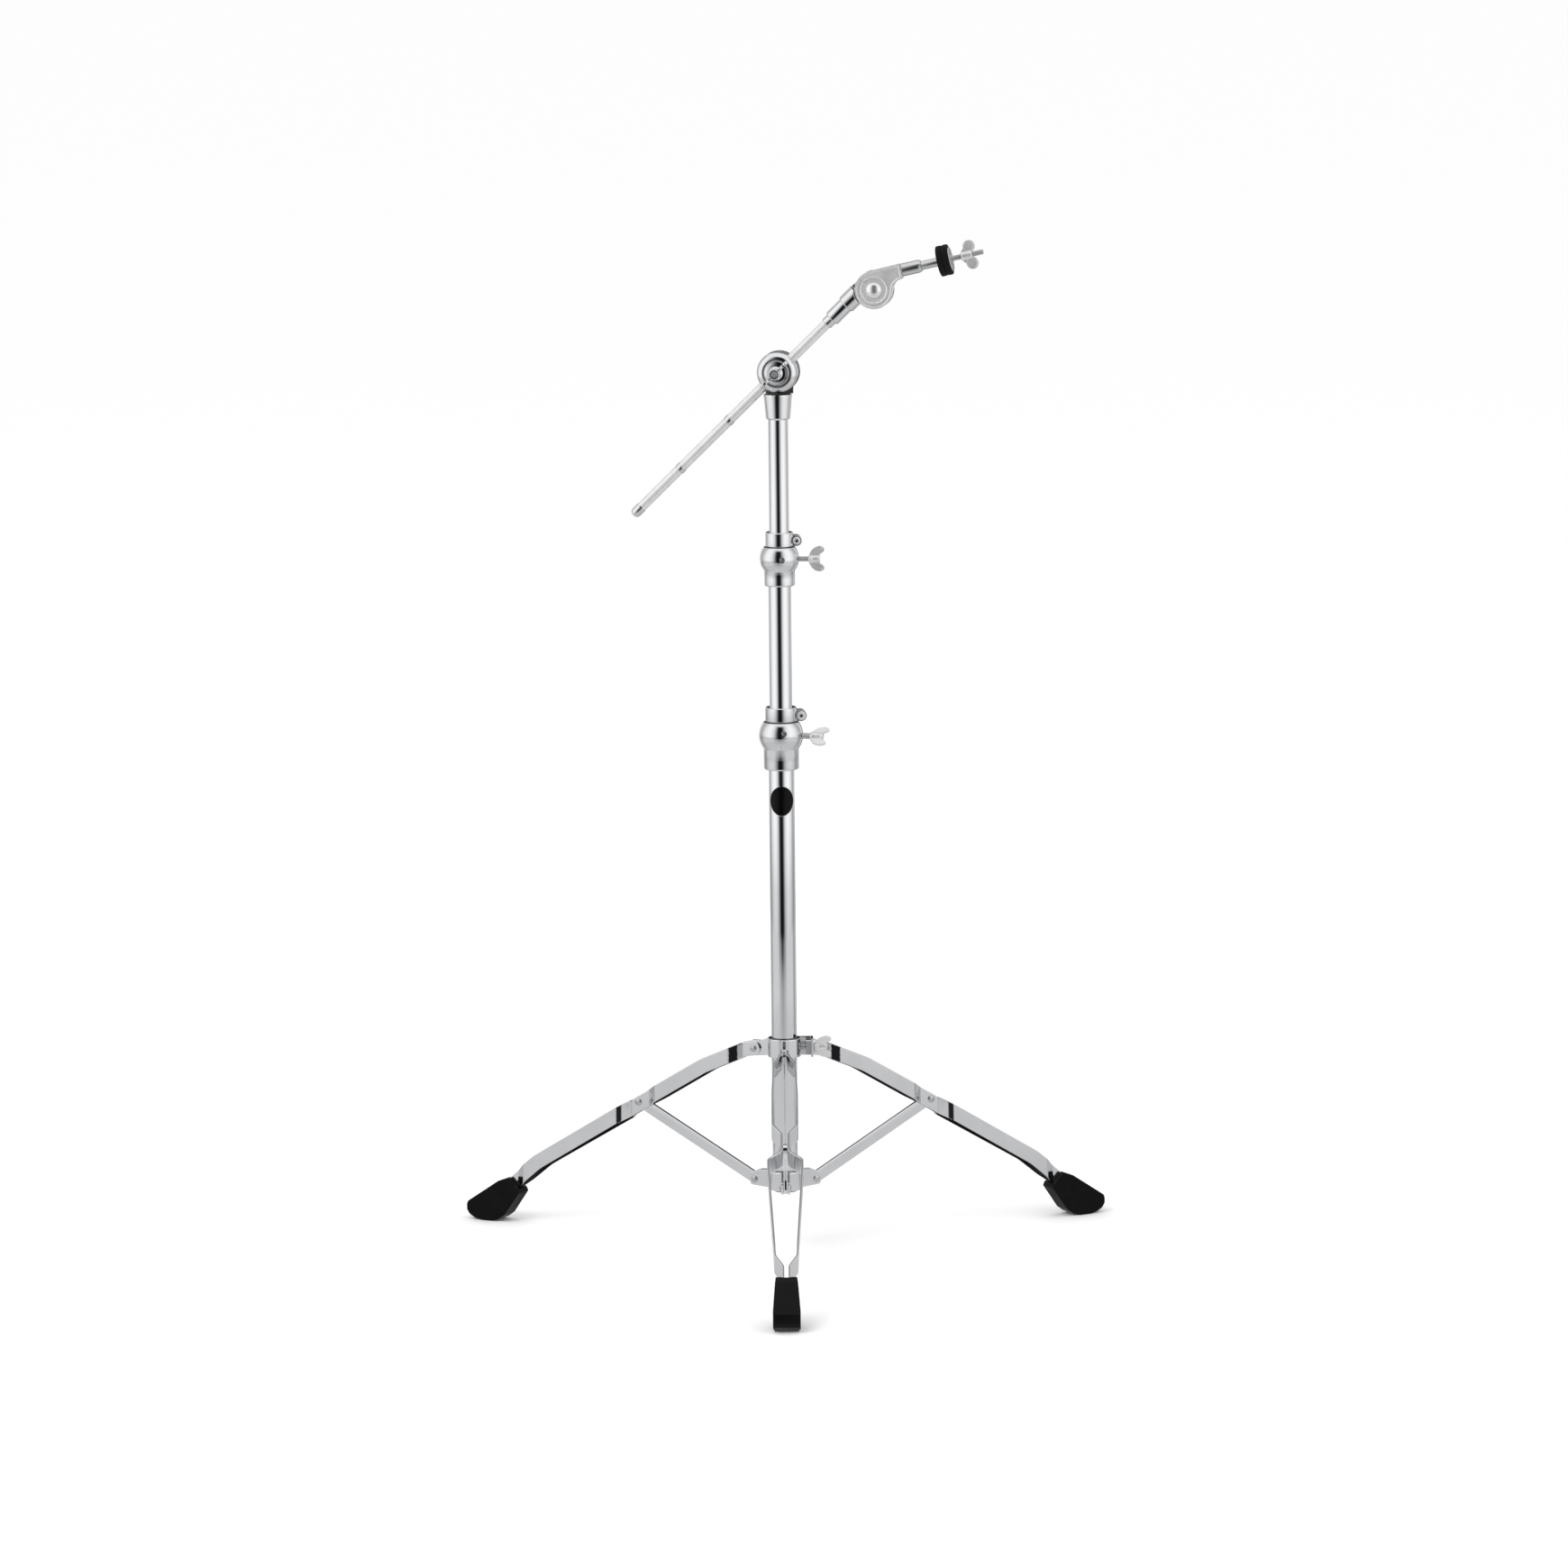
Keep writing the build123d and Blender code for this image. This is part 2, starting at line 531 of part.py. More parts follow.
with BuildPart() as upper_clamp_body:
    add(turned(upright(0), ball_profile(up_clamp_z0, up_clamp_z1, up_clamp_r, up_ball_r, up_ball_z, mid_r)))
    with Locations(outward(up_bolt_az, up_bolt_z)):
        Cylinder(up_bolt_r + run, 60, align=(Align.CENTER, Align.CENTER, Align.MIN), mode=Mode.SUBTRACT)
    with Locations(outward(-82.5, 799.7)):
        Cylinder(2.7, 60, align=(Align.CENTER, Align.CENTER, Align.MIN), mode=Mode.SUBTRACT)
upper_clamp_body.part.label = "upper_clamp_body"
export_step(upper_clamp_body.part, "parts/upper_clamp_body.step")

with BuildPart() as upper_clamp_bush:
    add(turned(upright(0), [(top_r + run, mid_z1), (mid_r, mid_z1), (mid_r, 811.9), (top_r + run + 0.5, 811.9),
                            (top_r + run, 811.4)]))
upper_clamp_bush.part.label = "upper_clamp_bush"
export_step(upper_clamp_bush.part, "parts/upper_clamp_bush.step")

with BuildPart() as upper_set_screw:
    add(clamp_set_screw(-82.5, 799.7, 21.0))
upper_set_screw.part.label = "upper_set_screw"
export_step(upper_set_screw.part, "parts/upper_set_screw.step")

with BuildPart() as upper_wing_screw:
    add(wing_screw(up_bolt_az, up_bolt_z, 13.0, 32.6, up_bolt_r, 4.6, 13.4, 0, 14.5, 18.4, 3.2))
upper_wing_screw.part.label = "upper_wing_screw"
export_step(upper_wing_screw.part, "parts/upper_wing_screw.step")

with BuildPart() as upper_memory_ring:
    add(memory_ring(812.65, 829.5, top_r + run, 15.6, 19.2, 819.8, 6.3, up_ring_az))
upper_memory_ring.part.label = "upper_memory_ring"
export_step(upper_memory_ring.part, "parts/upper_memory_ring.step")

with BuildPart() as upper_memory_screw:
    add(memory_screw(19.2, 819.8, up_ring_az, 4.4))
upper_memory_screw.part.label = "upper_memory_screw"
export_step(upper_memory_screw.part, "parts/upper_memory_screw.step")

# ================================================================== upper tube and boom socket
with BuildPart() as upper_tube:
    with BuildSketch(level(top_z0)):
        Circle(top_r)
        Circle(top_ri, mode=Mode.SUBTRACT)
    extrude(amount=top_z1 - top_z0)
    with Locations(outward(90, 974.0)):
        Cylinder(1.8, 40, align=(Align.CENTER, Align.CENTER, Align.MIN), mode=Mode.SUBTRACT)
upper_tube.part.label = "upper_tube"
export_step(upper_tube.part, "parts/upper_tube.step")

rear_w0, rear_w1 = -16.0, -8.85
socket_z0 = 957.2
with BuildPart() as boom_socket:
    # tapered sleeve over the tube end
    add(turned(upright(0), [(0, top_z1), (top_r, top_z1), (top_r, socket_z0), (12.3, socket_z0), (13.7, socket_z0 + 1.9), (15.9, 984.6),
                            (15.5, 985.6), (0, 985.6)]))
    # web up to the fixed disc behind the boom
    with BuildSketch(drum_plane(rear_w0)) as web:
        Circle(drum_r)
        with BuildLine():
            Polyline((-15.2, -25.0), (15.2, -25.0), (15.6, -14.0), (-15.6, -14.0), close=True)
        make_face()
    extrude(web.sketch, amount=rear_w1 - rear_w0)
    with BuildSketch(level(950)) as keep:
        Circle(30)
    extrude(keep.sketch, amount=100, mode=Mode.INTERSECT)
    with BuildSketch(drum_plane(-30)) as pin_hole:
        Circle(4.0 + run)
    extrude(pin_hole.sketch, amount=30, mode=Mode.SUBTRACT)
    with Locations(outward(90, 974.0)):
        Cylinder(1.8, 40, align=(Align.CENTER, Align.CENTER, Align.MIN), mode=Mode.SUBTRACT)
boom_socket.part.label = "boom_socket"
export_step(boom_socket.part, "parts/boom_socket.step")

with BuildPart() as socket_pin:
    add(spindle(outward(90, 974.0), [(0, 9.0), (1.8, 9.0), (1.8, 15.3), (3.2, 15.4), (3.0, 16.4), (2.0, 17.0), (0, 17.2)]))
socket_pin.part.label = "socket_pin"
export_step(socket_pin.part, "parts/socket_pin.step")

with BuildPart() as friction_ring:
    with BuildSketch(drum_plane(rear_w1)):
        Circle(21.4)
        Circle(9.0, mode=Mode.SUBTRACT)
    extrude(amount=0.75)
friction_ring.part.label = "friction_ring"
export_step(friction_ring.part, "parts/friction_ring.step")

# ================================================================== boom holder (turns on the socket)
rotor_w0 = -8.0


def rod_groove(radius):
    with BuildPart() as groove:
        with BuildSketch(boom_plane(-40)):
            Circle(radius)
        extrude(amount=80)
    return groove.part


with BuildPart() as boom_rotor:
    add(spindle(drum_plane(0), [(0, rotor_w0), (drum_r - 0.8, rotor_w0), (drum_r, rotor_w0 + 0.8), (drum_r, -1.2), (drum_r - 0.7, -0.5), (0, -0.5)]))
    add(rod_groove(clamp_bore_r), mode=Mode.SUBTRACT)
    with BuildSketch(drum_plane(rotor_w0)) as pocket:
        Circle(eye_r + 0.1)
    extrude(pocket.sketch, amount=12, mode=Mode.SUBTRACT)
boom_rotor.part.label = "boom_rotor"
export_step(boom_rotor.part, "parts/boom_rotor.step")

cap_rim = [(15.0 + 8.25 * cos(radians(a)), 2.2 + 8.7 * sin(radians(a))) for a in range(0, 88, 6)]
with BuildPart() as boom_cap:
    add(spindle(drum_plane(0), [(0, 0.5), (drum_r - 0.7, 0.5), (drum_r, 1.2)] + cap_rim
                + [(14.7, 10.8), (14.3, 10.4), (14.2, 9.7), (0, 9.7)]))
    add(rod_groove(clamp_bore_r), mode=Mode.SUBTRACT)
    with BuildSketch(drum_plane(0)) as pocket:
        Circle(eye_r + 0.1)
    extrude(pocket.sketch, amount=7.3, mode=Mode.SUBTRACT)
    with BuildSketch(drum_plane(5)) as through:
        Circle(4.05)
    extrude(through.sketch, amount=12, mode=Mode.SUBTRACT)
boom_cap.part.label = "boom_cap"
export_step(boom_cap.part, "parts/boom_cap.step")

with BuildPart() as boom_eyebolt:
    add(spindle(drum_plane(0), [(0, -18.6), (7.2, -18.6), (8.0, -17.9), (8.0, -16.15), (4.0, -16.15), (4.0, -7.9), (eye_r, -7.9),
                                (eye_r, 7.0), (4.0, 7.0), (4.0, 26.2), (3.4, 26.8), (0, 26.8)]))
    add(rod_groove(clamp_bore_r), mode=Mode.SUBTRACT)
boom_eyebolt.part.label = "boom_eyebolt"
export_step(boom_eyebolt.part, "parts/boom_eyebolt.step")

with BuildPart() as boom_washer:
    add(spindle(drum_plane(0), [(4.05, 9.75), (13.4, 9.75), (13.9, 10.1), (13.9, 10.6), (13.4, 11.0), (10.6, 11.7), (7.0, 12.2), (4.05, 12.2)]))
boom_washer.part.label = "boom_washer"
export_step(boom_washer.part, "parts/boom_washer.step")

with BuildPart() as boom_wing_nut:
    nut_plane = drum_plane(0, b_dir)
    add(spindle(nut_plane, [(4.05, 12.25), (7.6, 12.25), (8.0, 12.8), (7.6, 14.0), (6.0, 15.6), (6.0, 27.0), (5.4, 27.6), (4.05, 27.6)]))
    add(wings(nut_plane, 6.0, 21.8, 13.2, 29.4, 4.4))
    with BuildSketch(drum_plane(5)) as through:
        Circle(4.05)
    extrude(through.sketch, amount=40, mode=Mode.SUBTRACT)
boom_wing_nut.part.label = "boom_wing_nut"
export_step(boom_wing_nut.part, "parts/boom_wing_nut.step")

# ================================================================== boom rod
tip_s = -233.0
with BuildPart() as boom_rod:
    prof = [(0, tip_s), (2.6, tip_s), (4.6, tip_s + 1.2), (5.7, tip_s + 3.6), (6.0, tip_s + 7.0), (6.0, tip_s + 13.0), (rod_r, tip_s + 14.0)]
    for c in (-156.0, -77.8):
        prof += [(rod_r, c - 2.9), (land_r, c - 2.4), (land_r, c + 2.4), (rod_r, c + 2.9)]
    prof += [(rod_r, 78.0), (5.5, 78.2), (5.5, 109.4), (0, 109.4)]
    add(spindle(boom_plane(0), prof))
boom_rod.part.label = "boom_rod"
export_step(boom_rod.part, "parts/boom_rod.step")

with BuildPart() as boom_ferrule:
    add(spindle(boom_plane(0), [(5.5, 78.6), (6.3, 78.6), (6.8, 79.2), (6.8, 87.05), (8.2, 87.05), (9.0, 87.9), (9.0, 109.4),
                                (5.5, 109.4)]))
boom_ferrule.part.label = "boom_ferrule"
export_step(boom_ferrule.part, "parts/boom_ferrule.step")

# ================================================================== tilter
with BuildPart() as tilter_yoke:
    add(spindle(boom_plane(0), [(0, 109.5), (9.9, 109.5), (10.75, 110.4), (10.75, 128.5), (0, 128.5)]))
    # flat cheek behind the head
    with BuildSketch(yoke_plane(-10.5)) as cheek:
        Circle(head_R)
    extrude(cheek.sketch, amount=6.2)
    with BuildSketch(yoke_plane(-10.5)) as root:
        with BuildLine():
            Polyline((-33.5, 21.0), (-20.0, 21.3), (-6.0, 20.3), (-2.0, 0), (-14.0, -14.5), (-22.0, -0.3), (-33.5, 0.4), close=True)
        make_face()
    extrude(root.sketch, amount=6.2)
    # clear the turning head
    with BuildSketch(yoke_plane(-4.3)) as sweep_room:
        Circle(head_R + 0.7)
    extrude(sweep_room.sketch, amount=30, mode=Mode.SUBTRACT)
    with BuildSketch(yoke_plane(-30)) as bolt_hole:
        Circle(4.05)
    extrude(bolt_hole.sketch, amount=40, mode=Mode.SUBTRACT)
tilter_yoke.part.label = "tilter_yoke"
export_step(tilter_yoke.part, "parts/tilter_yoke.step")

head_w0, head_w1 = -4.0, 7.6
with BuildPart() as tilter_head:
    with BuildSketch(tilt_plane(head_w0)) as head:
        Circle(head_R)
        with BuildLine():
            Polyline((0, head_R), (35.4, 22.0), (35.4, 5.4), (29.5, 4.6), (25.6, 2.6), (22.8, -0.8), (21.0, -5.6), (0, -8), close=True)
        make_face()
    extrude(head.sketch, amount=head_w1 - head_w0)
    # recessed field inside a raised rim
    with BuildSketch(tilt_plane(head_w1 - 0.9)) as field:
        Circle(head_R - 2.0)
        with BuildLine():
            Polyline((0, head_R - 2.0), (33.2, 19.9), (33.2, 7.2), (28.4, 6.5), (24.0, 4.2), (20.8, 0.4), (18.8, -4.6), (0, -8), close=True)
        make_face()
    extrude(field.sketch, amount=5, mode=Mode.SUBTRACT)
    # turned dish round the bolt
    with BuildSketch(tilt_plane(head_w1 - 3.6)) as dish:
        Circle(14.4)
    extrude(dish.sketch, amount=10, taper=-12, mode=Mode.SUBTRACT)
    with BuildSketch(tilt_plane(-30)) as bolt_hole:
        Circle(4.05)
    extrude(bolt_hole.sketch, amount=60, mode=Mode.SUBTRACT)
    # socket for the cymbal post
    with BuildSketch(post_plane(18)) as post_hole:
        Circle(4.6)
    extrude(post_hole.sketch, amount=30, mode=Mode.SUBTRACT)
tilter_head.part.label = "tilter_head"
export_step(tilter_head.part, "parts/tilter_head.step")

dome = [(9.2 * cos(radians(a)), 4.3 + 5.4 * sin(radians(a))) for a in range(0, 90, 9)]
with BuildPart() as tilter_bolt:
    add(spindle(tilt_plane(0), [(0, -22.0), (3.4, -22.0), (4.0, -21.3), (4.0, 4.2), (9.2, 4.2)] + dome[1:] + [(0, 9.7)]))
tilter_bolt.part.label = "tilter_bolt"
export_step(tilter_bolt.part, "parts/tilter_bolt.step")

with BuildPart() as tilter_wing_nut:
    back = spun_about(Plane(origin=tilt_c, x_dir=-q_dir, z_dir=-m_dir), 20)
    add(spindle(back, [(4.05, 10.6), (8.4, 10.6), (8.8, 11.2), (8.0, 12.8), (6.0, 14.4), (6.0, 23.4), (5.4, 24.0), (4.05, 24.0)]))
    add(wings(back, 5.8, 19.0, 12.2, 27.0, 4.0))
    with BuildSketch(back) as through:
        Circle(4.05)
    extrude(through.sketch, amount=60, mode=Mode.SUBTRACT)
tilter_wing_nut.part.label = "tilter_wing_nut"
export_step(tilter_wing_nut.part, "parts/tilter_wing_nut.step")

# ================================================================== cymbal post
base_x1, sleeve_x1 = 58.3, 93.3
felt_r, felt_hole = 17.5, 5.05
felt_x0, felt_x1, felt_x2 = 78.3, 85.1, 91.9
nut_x0, nut_x1 = 104.5, 117.3
rod_tip = 129.8
lobe_x, lobe_y, lobe_r = 115.4, 9.8, 6.9
with BuildPart() as post_base:
    add(spindle(post_plane(0), [(3.0, 20.0), (4.6, 20.0), (4.6, 35.45), (6.4, 35.45), (7.2, 36.2), (7.2, base_x1 - 3.2), (6.4, base_x1),
                                (3.0, base_x1)]))
post_base.part.label = "post_base"
export_step(post_base.part, "parts/post_base.step")

with BuildPart() as post_sleeve:
    add(spindle(post_plane(0), [(3.0, base_x1 + 0.05), (4.9, base_x1 + 0.05), (4.9, sleeve_x1 - 0.5), (4.5, sleeve_x1), (3.0, sleeve_x1)]))
post_sleeve.part.label = "post_sleeve"
export_step(post_sleeve.part, "parts/post_sleeve.step")

with BuildPart() as post_rod:
    add(spindle(post_plane(0), [(0, 22.0), (3.0, 22.0), (3.0, 122.5), (2.65, 122.6), (2.65, 123.1),
                                (3.0, 123.2), (3.0, rod_tip - 0.8), (2.3, rod_tip), (0, rod_tip)]))
post_rod.part.label = "post_rod"
export_step(post_rod.part, "parts/post_rod.step")



def felt(x0, x1):
    e = 1.1
    return spindle(post_plane(0), [(felt_hole, x0), (felt_r - e, x0), (felt_r - 0.3 * e, x0 + 0.3 * e), (felt_r, x0 + e),
                                   (felt_r, x1 - e), (felt_r - 0.3 * e, x1 - 0.3 * e), (felt_r - e, x1), (felt_hole, x1)])


with BuildPart() as lower_felt:
    add(felt(felt_x0, felt_x1 - 0.05))
lower_felt.part.label = "lower_felt"
export_step(lower_felt.part, "parts/lower_felt.step")

with BuildPart() as upper_felt:
    add(felt(felt_x1 + 0.05, felt_x2))
upper_felt.part.label = "upper_felt"
export_step(upper_felt.part, "parts/upper_felt.step")

with BuildPart() as felt_washer:
    add(spindle(post_plane(0), [(felt_hole, felt_x2 + 0.02), (13.8, felt_x2 + 0.02), (14.2, felt_x2 + 0.5), (13.8, felt_x2 + 1.1),
                                (felt_hole, felt_x2 + 1.1)]))
felt_washer.part.label = "felt_washer"
export_step(felt_washer.part, "parts/felt_washer.step")

with BuildPart() as cymbal_wing_nut:
    nut_plane = Plane(origin=tilt_c + q_dir * post_y, x_dir=q_dir, z_dir=d_dir)
    add(spindle(nut_plane, [(3.0 + run, nut_x0), (4.9, nut_x0), (5.4, nut_x0 + 0.7), (4.9, nut_x0 + 2.4), (4.8, nut_x1 - 0.8), (4.1, nut_x1),
                            (3.0 + run, nut_x1)]))
    # two round lobes on short webs
    with BuildSketch(Plane(origin=nut_plane.origin, x_dir=q_dir, z_dir=-nut_plane.y_dir)) as lobes:
        with BuildLine():
            Polyline((1.5, nut_x0 + 0.6), (5.6, nut_x0 + 1.0), (9.4, lobe_x - lobe_r + 0.5), (9.8, lobe_x), (6.2, lobe_x + 5.2),
                     (1.5, nut_x1 - 1.2), close=True)
        make_face()
        with Locations((lobe_y, lobe_x)):
            Circle(lobe_r)
        mirror(about=Plane.YZ)
    extrude(lobes.sketch, amount=1.5, both=True)
    with BuildSketch(Plane(origin=nut_plane.origin, x_dir=q_dir, z_dir=d_dir)) as through:
        Circle(3.0 + run)
    extrude(through.sketch, amount=160, mode=Mode.SUBTRACT)
cymbal_wing_nut.part.label = "cymbal_wing_nut"
export_step(cymbal_wing_nut.part, "parts/cymbal_wing_nut.step")
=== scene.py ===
import math

import bmesh
import bpy
from mathutils import Matrix, Vector, noise


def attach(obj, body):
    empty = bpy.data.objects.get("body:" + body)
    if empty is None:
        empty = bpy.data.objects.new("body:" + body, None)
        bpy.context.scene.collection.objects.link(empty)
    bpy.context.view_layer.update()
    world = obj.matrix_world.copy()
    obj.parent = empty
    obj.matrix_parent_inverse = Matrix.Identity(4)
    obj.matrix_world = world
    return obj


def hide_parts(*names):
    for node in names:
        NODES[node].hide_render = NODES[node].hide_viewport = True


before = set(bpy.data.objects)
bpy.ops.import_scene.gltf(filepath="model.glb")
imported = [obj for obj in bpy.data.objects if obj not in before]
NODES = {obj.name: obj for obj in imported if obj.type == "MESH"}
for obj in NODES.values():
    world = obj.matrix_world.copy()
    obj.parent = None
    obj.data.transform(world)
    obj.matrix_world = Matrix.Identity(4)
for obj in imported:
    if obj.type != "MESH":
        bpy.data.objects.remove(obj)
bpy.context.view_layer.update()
MM = 0.001

# ------------------------------------------------------------------ the design's own frames (mm)
CY = 99.497
AZ = {"front": -90.0, "right": 30.0, "left": 150.0}
yaw, boom_angle = math.radians(9.0), math.radians(44.4)
twist, bend = math.radians(0.0), math.radians(31.4)
UP = Vector((0, 0, 1))
h_dir = Vector((math.cos(yaw), -math.sin(yaw), 0))
n_dir = Vector((-math.sin(yaw), -math.cos(yaw), 0))
b_dir = h_dir * math.cos(boom_angle) + UP * math.sin(boom_angle)
p_dir = h_dir * math.sin(boom_angle) - UP * math.cos(boom_angle)
drum_c = Vector((0, CY, 1010.2))
tilt_c = drum_c + b_dir * 144.7 + p_dir * 10.4
m_dir = n_dir * math.cos(twist) + p_dir * math.sin(twist)
p2_dir = p_dir * math.cos(twist) - n_dir * math.sin(twist)
d_dir = b_dir * math.cos(bend) + p2_dir * math.sin(bend)
q_dir = m_dir.cross(d_dir)
post_c = tilt_c + q_dir * 14.4


class Place:
    """A local frame in mm: x and z directions, y = z cross x."""

    def __init__(self, origin, x, z):
        self.o, self.x, self.z = Vector(origin), Vector(x).normalized(), Vector(z).normalized()
        self.y = self.z.cross(self.x)

    def at(self, x, y, z):
        return self.o + self.x * x + self.y * y + self.z * z

    def turned(self, degrees):
        t = math.radians(degrees)
        return Place(self.o, self.x * math.cos(t) + self.y * math.sin(t), self.z)


def level(z=0.0, az=0.0):
    a = math.radians(az)
    return Place((0, CY, z), (math.cos(a), math.sin(a), 0), (0, 0, 1))


def outward(az, z):
    """local z outward from the column at azimuth az, local x up"""
    a = math.radians(az)
    return Place((0, CY, z), (0, 0, 1), (math.cos(a), math.sin(a), 0))


def in_leg_plane(az):
    """local x outward, local y up, local z across the leg plane"""
    a = math.radians(az)
    return Place((0, CY, 0), (math.cos(a), math.sin(a), 0), (math.sin(a), -math.cos(a), 0))


drum = Place(drum_c, h_dir, n_dir)
boom_axis = Place(drum_c, n_dir, b_dir)
tilt = Place(tilt_c, d_dir, m_dir)
post = Place(post_c, m_dir, d_dir)


# ------------------------------------------------------------------ outlines
def rounded(points, radius, closed=False, n=4):
    """The same outline with each corner turned into an arc."""
    pts = [Vector((p[0], p[1])) for p in points]
    count, out = len(pts), []
    for i, p in enumerate(pts):
        r = radius[i] if isinstance(radius, (list, tuple)) else radius
        if (not closed and i in (0, count - 1)) or r <= 0:
            out.append((p.x, p.y))
            continue
        a, b = pts[i - 1] - p, pts[(i + 1) % count] - p
        la, lb = a.length, b.length
        if la < 1e-6 or lb < 1e-6:
            out.append((p.x, p.y))
            continue
        a, b = a / la, b / lb
        ang = math.acos(max(-1.0, min(1.0, a.dot(b))))
        if ang > math.radians(176) or ang < 1e-3:
            out.append((p.x, p.y))
            continue
        t = min(r / math.tan(ang / 2), 0.47 * la, 0.47 * lb)
        rr = t * math.tan(ang / 2)
        c = p + (a + b).normalized() * (rr / math.sin(ang / 2))
        s, e = p + a * t - c, p + b * t - c
        a0, sweep = math.atan2(s.y, s.x), 0.0
        sweep = (math.atan2(e.y, e.x) - a0 + math.pi) % (2 * math.pi) - math.pi
        for k in range(n + 1):
            f = a0 + sweep * k / n
            out.append((c.x + rr * math.cos(f), c.y + rr * math.sin(f)))
    return out


def arc(cx, cy, r, a0, a1, n):
    return [(cx + r * math.cos(math.radians(a0 + (a1 - a0) * i / n)), cy + r * math.sin(math.radians(a0 + (a1 - a0) * i / n)))
            for i in range(n + 1)]


# ------------------------------------------------------------------ mesh building
def mesh_object(name, verts, faces, sharp=40.0):
    me = bpy.data.meshes.new(name)
    me.from_pydata([tuple(Vector(v) * MM) for v in verts], [], faces)
    me.validate()
    bm = bmesh.new()
    bm.from_mesh(me)
    bmesh.ops.remove_doubles(bm, verts=bm.verts, dist=1e-7)
    bmesh.ops.recalc_face_normals(bm, faces=bm.faces)
    bm.to_mesh(me)
    bm.free()
    ob = bpy.data.objects.new(name, me)
    bpy.context.scene.collection.objects.link(ob)
    soft(ob, sharp)
    return ob


def soft(ob, sharp=40.0):
    ob.data.shade_smooth()
    ob.data.set_sharp_from_angle(angle=math.radians(sharp))


def lathe_data(place, prof, segs=96):
    """Rings round the place's z axis; prof holds (radius, height). A profile that starts and ends on the axis closes itself."""
    verts, rings = [], []
    for r, h in prof:
        if r < 1e-6:
            verts.append(place.at(0, 0, h))
            rings.append([len(verts) - 1])
        else:
            ring = []
            for k in range(segs):
                f = 2 * math.pi * k / segs
                verts.append(place.at(r * math.cos(f), r * math.sin(f), h))
                ring.append(len(verts) - 1)
            rings.append(ring)
    faces = []
    pairs = list(zip(rings, rings[1:]))
    if len(rings[0]) > 1 and len(rings[-1]) > 1:
        pairs.append((rings[-1], rings[0]))
    for a, b in pairs:
        for k in range(segs):
            j = (k + 1) % segs
            if len(a) == 1 and len(b) == 1:
                break
            if len(a) == 1:
                faces.append((a[0], b[j], b[k]))
            elif len(b) == 1:
                faces.append((a[k], a[j], b[0]))
            else:
                faces.append((a[k], a[j], b[j], b[k]))
    return verts, faces


def lathe(name, place, prof, segs=96, edge=0.3, n=3, sharp=32.0):
    closed = prof[0][0] > 1e-6 and prof[-1][0] > 1e-6
    prof = rounded(prof, edge, closed=closed, n=n) if edge else prof
    return mesh_object(name, *lathe_data(place, prof, segs), sharp=sharp)


def prism_data(place, outline, z0, z1):
    """A flat outline in local x and y, from z0 to z1."""
    n = len(outline)
    verts = [place.at(x, y, z0) for x, y in outline] + [place.at(x, y, z1) for x, y in outline]
    faces = [tuple(range(n))[::-1], tuple(range(n, 2 * n))]
    faces += [(i, (i + 1) % n, n + (i + 1) % n, n + i) for i in range(n)]
    return verts, faces


def joined(parts):
    verts, faces = [], []
    for v, f in parts:
        base = len(verts)
        verts += list(v)
        faces += [tuple(i + base for i in face) for face in f]
    return verts, faces


def baked(ob):
    """The object with its modifiers applied to its mesh."""
    bpy.context.view_layer.update()
    me = bpy.data.meshes.new_from_object(ob.evaluated_get(bpy.context.evaluated_depsgraph_get()))
    old = ob.data
    ob.modifiers.clear()
    ob.data = me
    bpy.data.meshes.remove(old)
    return ob


def cast(name, verts, faces, voxel=0.35, smooth=6, keep=None):
    """Several overlapping closed shells fused into one cast form with small fillets."""
    ob = mesh_object(name, verts, faces)
    return fused(ob, voxel, smooth)


def fused(ob, voxel, smooth, factor=0.5):
    mod = ob.modifiers.new("fuse", "REMESH")
    mod.mode = "VOXEL"
    mod.voxel_size = voxel * MM
    mod.adaptivity = 0.0
    if smooth:
        sm = ob.modifiers.new("soften", "SMOOTH")
        sm.factor = factor
        sm.iterations = smooth
    baked(ob)
    ob.data.shade_smooth()
    return ob


def copy_of(name, node):
    """A new object with the shape of a CAD node, its seams merged."""
    bm = bmesh.new()
    bm.from_mesh(NODES[node].data)
    bmesh.ops.remove_doubles(bm, verts=bm.verts, dist=2e-7)
    me = bpy.data.meshes.new(name)
    bm.to_mesh(me)
    bm.free()
    ob = bpy.data.objects.new(name, me)
    bpy.context.scene.collection.objects.link(ob)
    return ob


def cut(ob, cutters):
    for c in cutters:
        mod = ob.modifiers.new("cut", "BOOLEAN")
        mod.operation = "DIFFERENCE"
        mod.solver = "EXACT"
        mod.object = c
    baked(ob)
    for c in cutters:
        bpy.data.objects.remove(c, do_unlink=True)
    return ob


def unite(ob, others):
    for c in others:
        mod = ob.modifiers.new("unite", "BOOLEAN")
        mod.operation = "UNION"
        mod.solver = "EXACT"
        mod.object = c
    baked(ob)
    for c in others:
        bpy.data.objects.remove(c, do_unlink=True)
    return ob


def bore(place, r, z0, z1, segs=48):
    return mesh_object("bore", *lathe_data(place, [(0, z0), (r, z0), (r, z1), (0, z1)], segs))


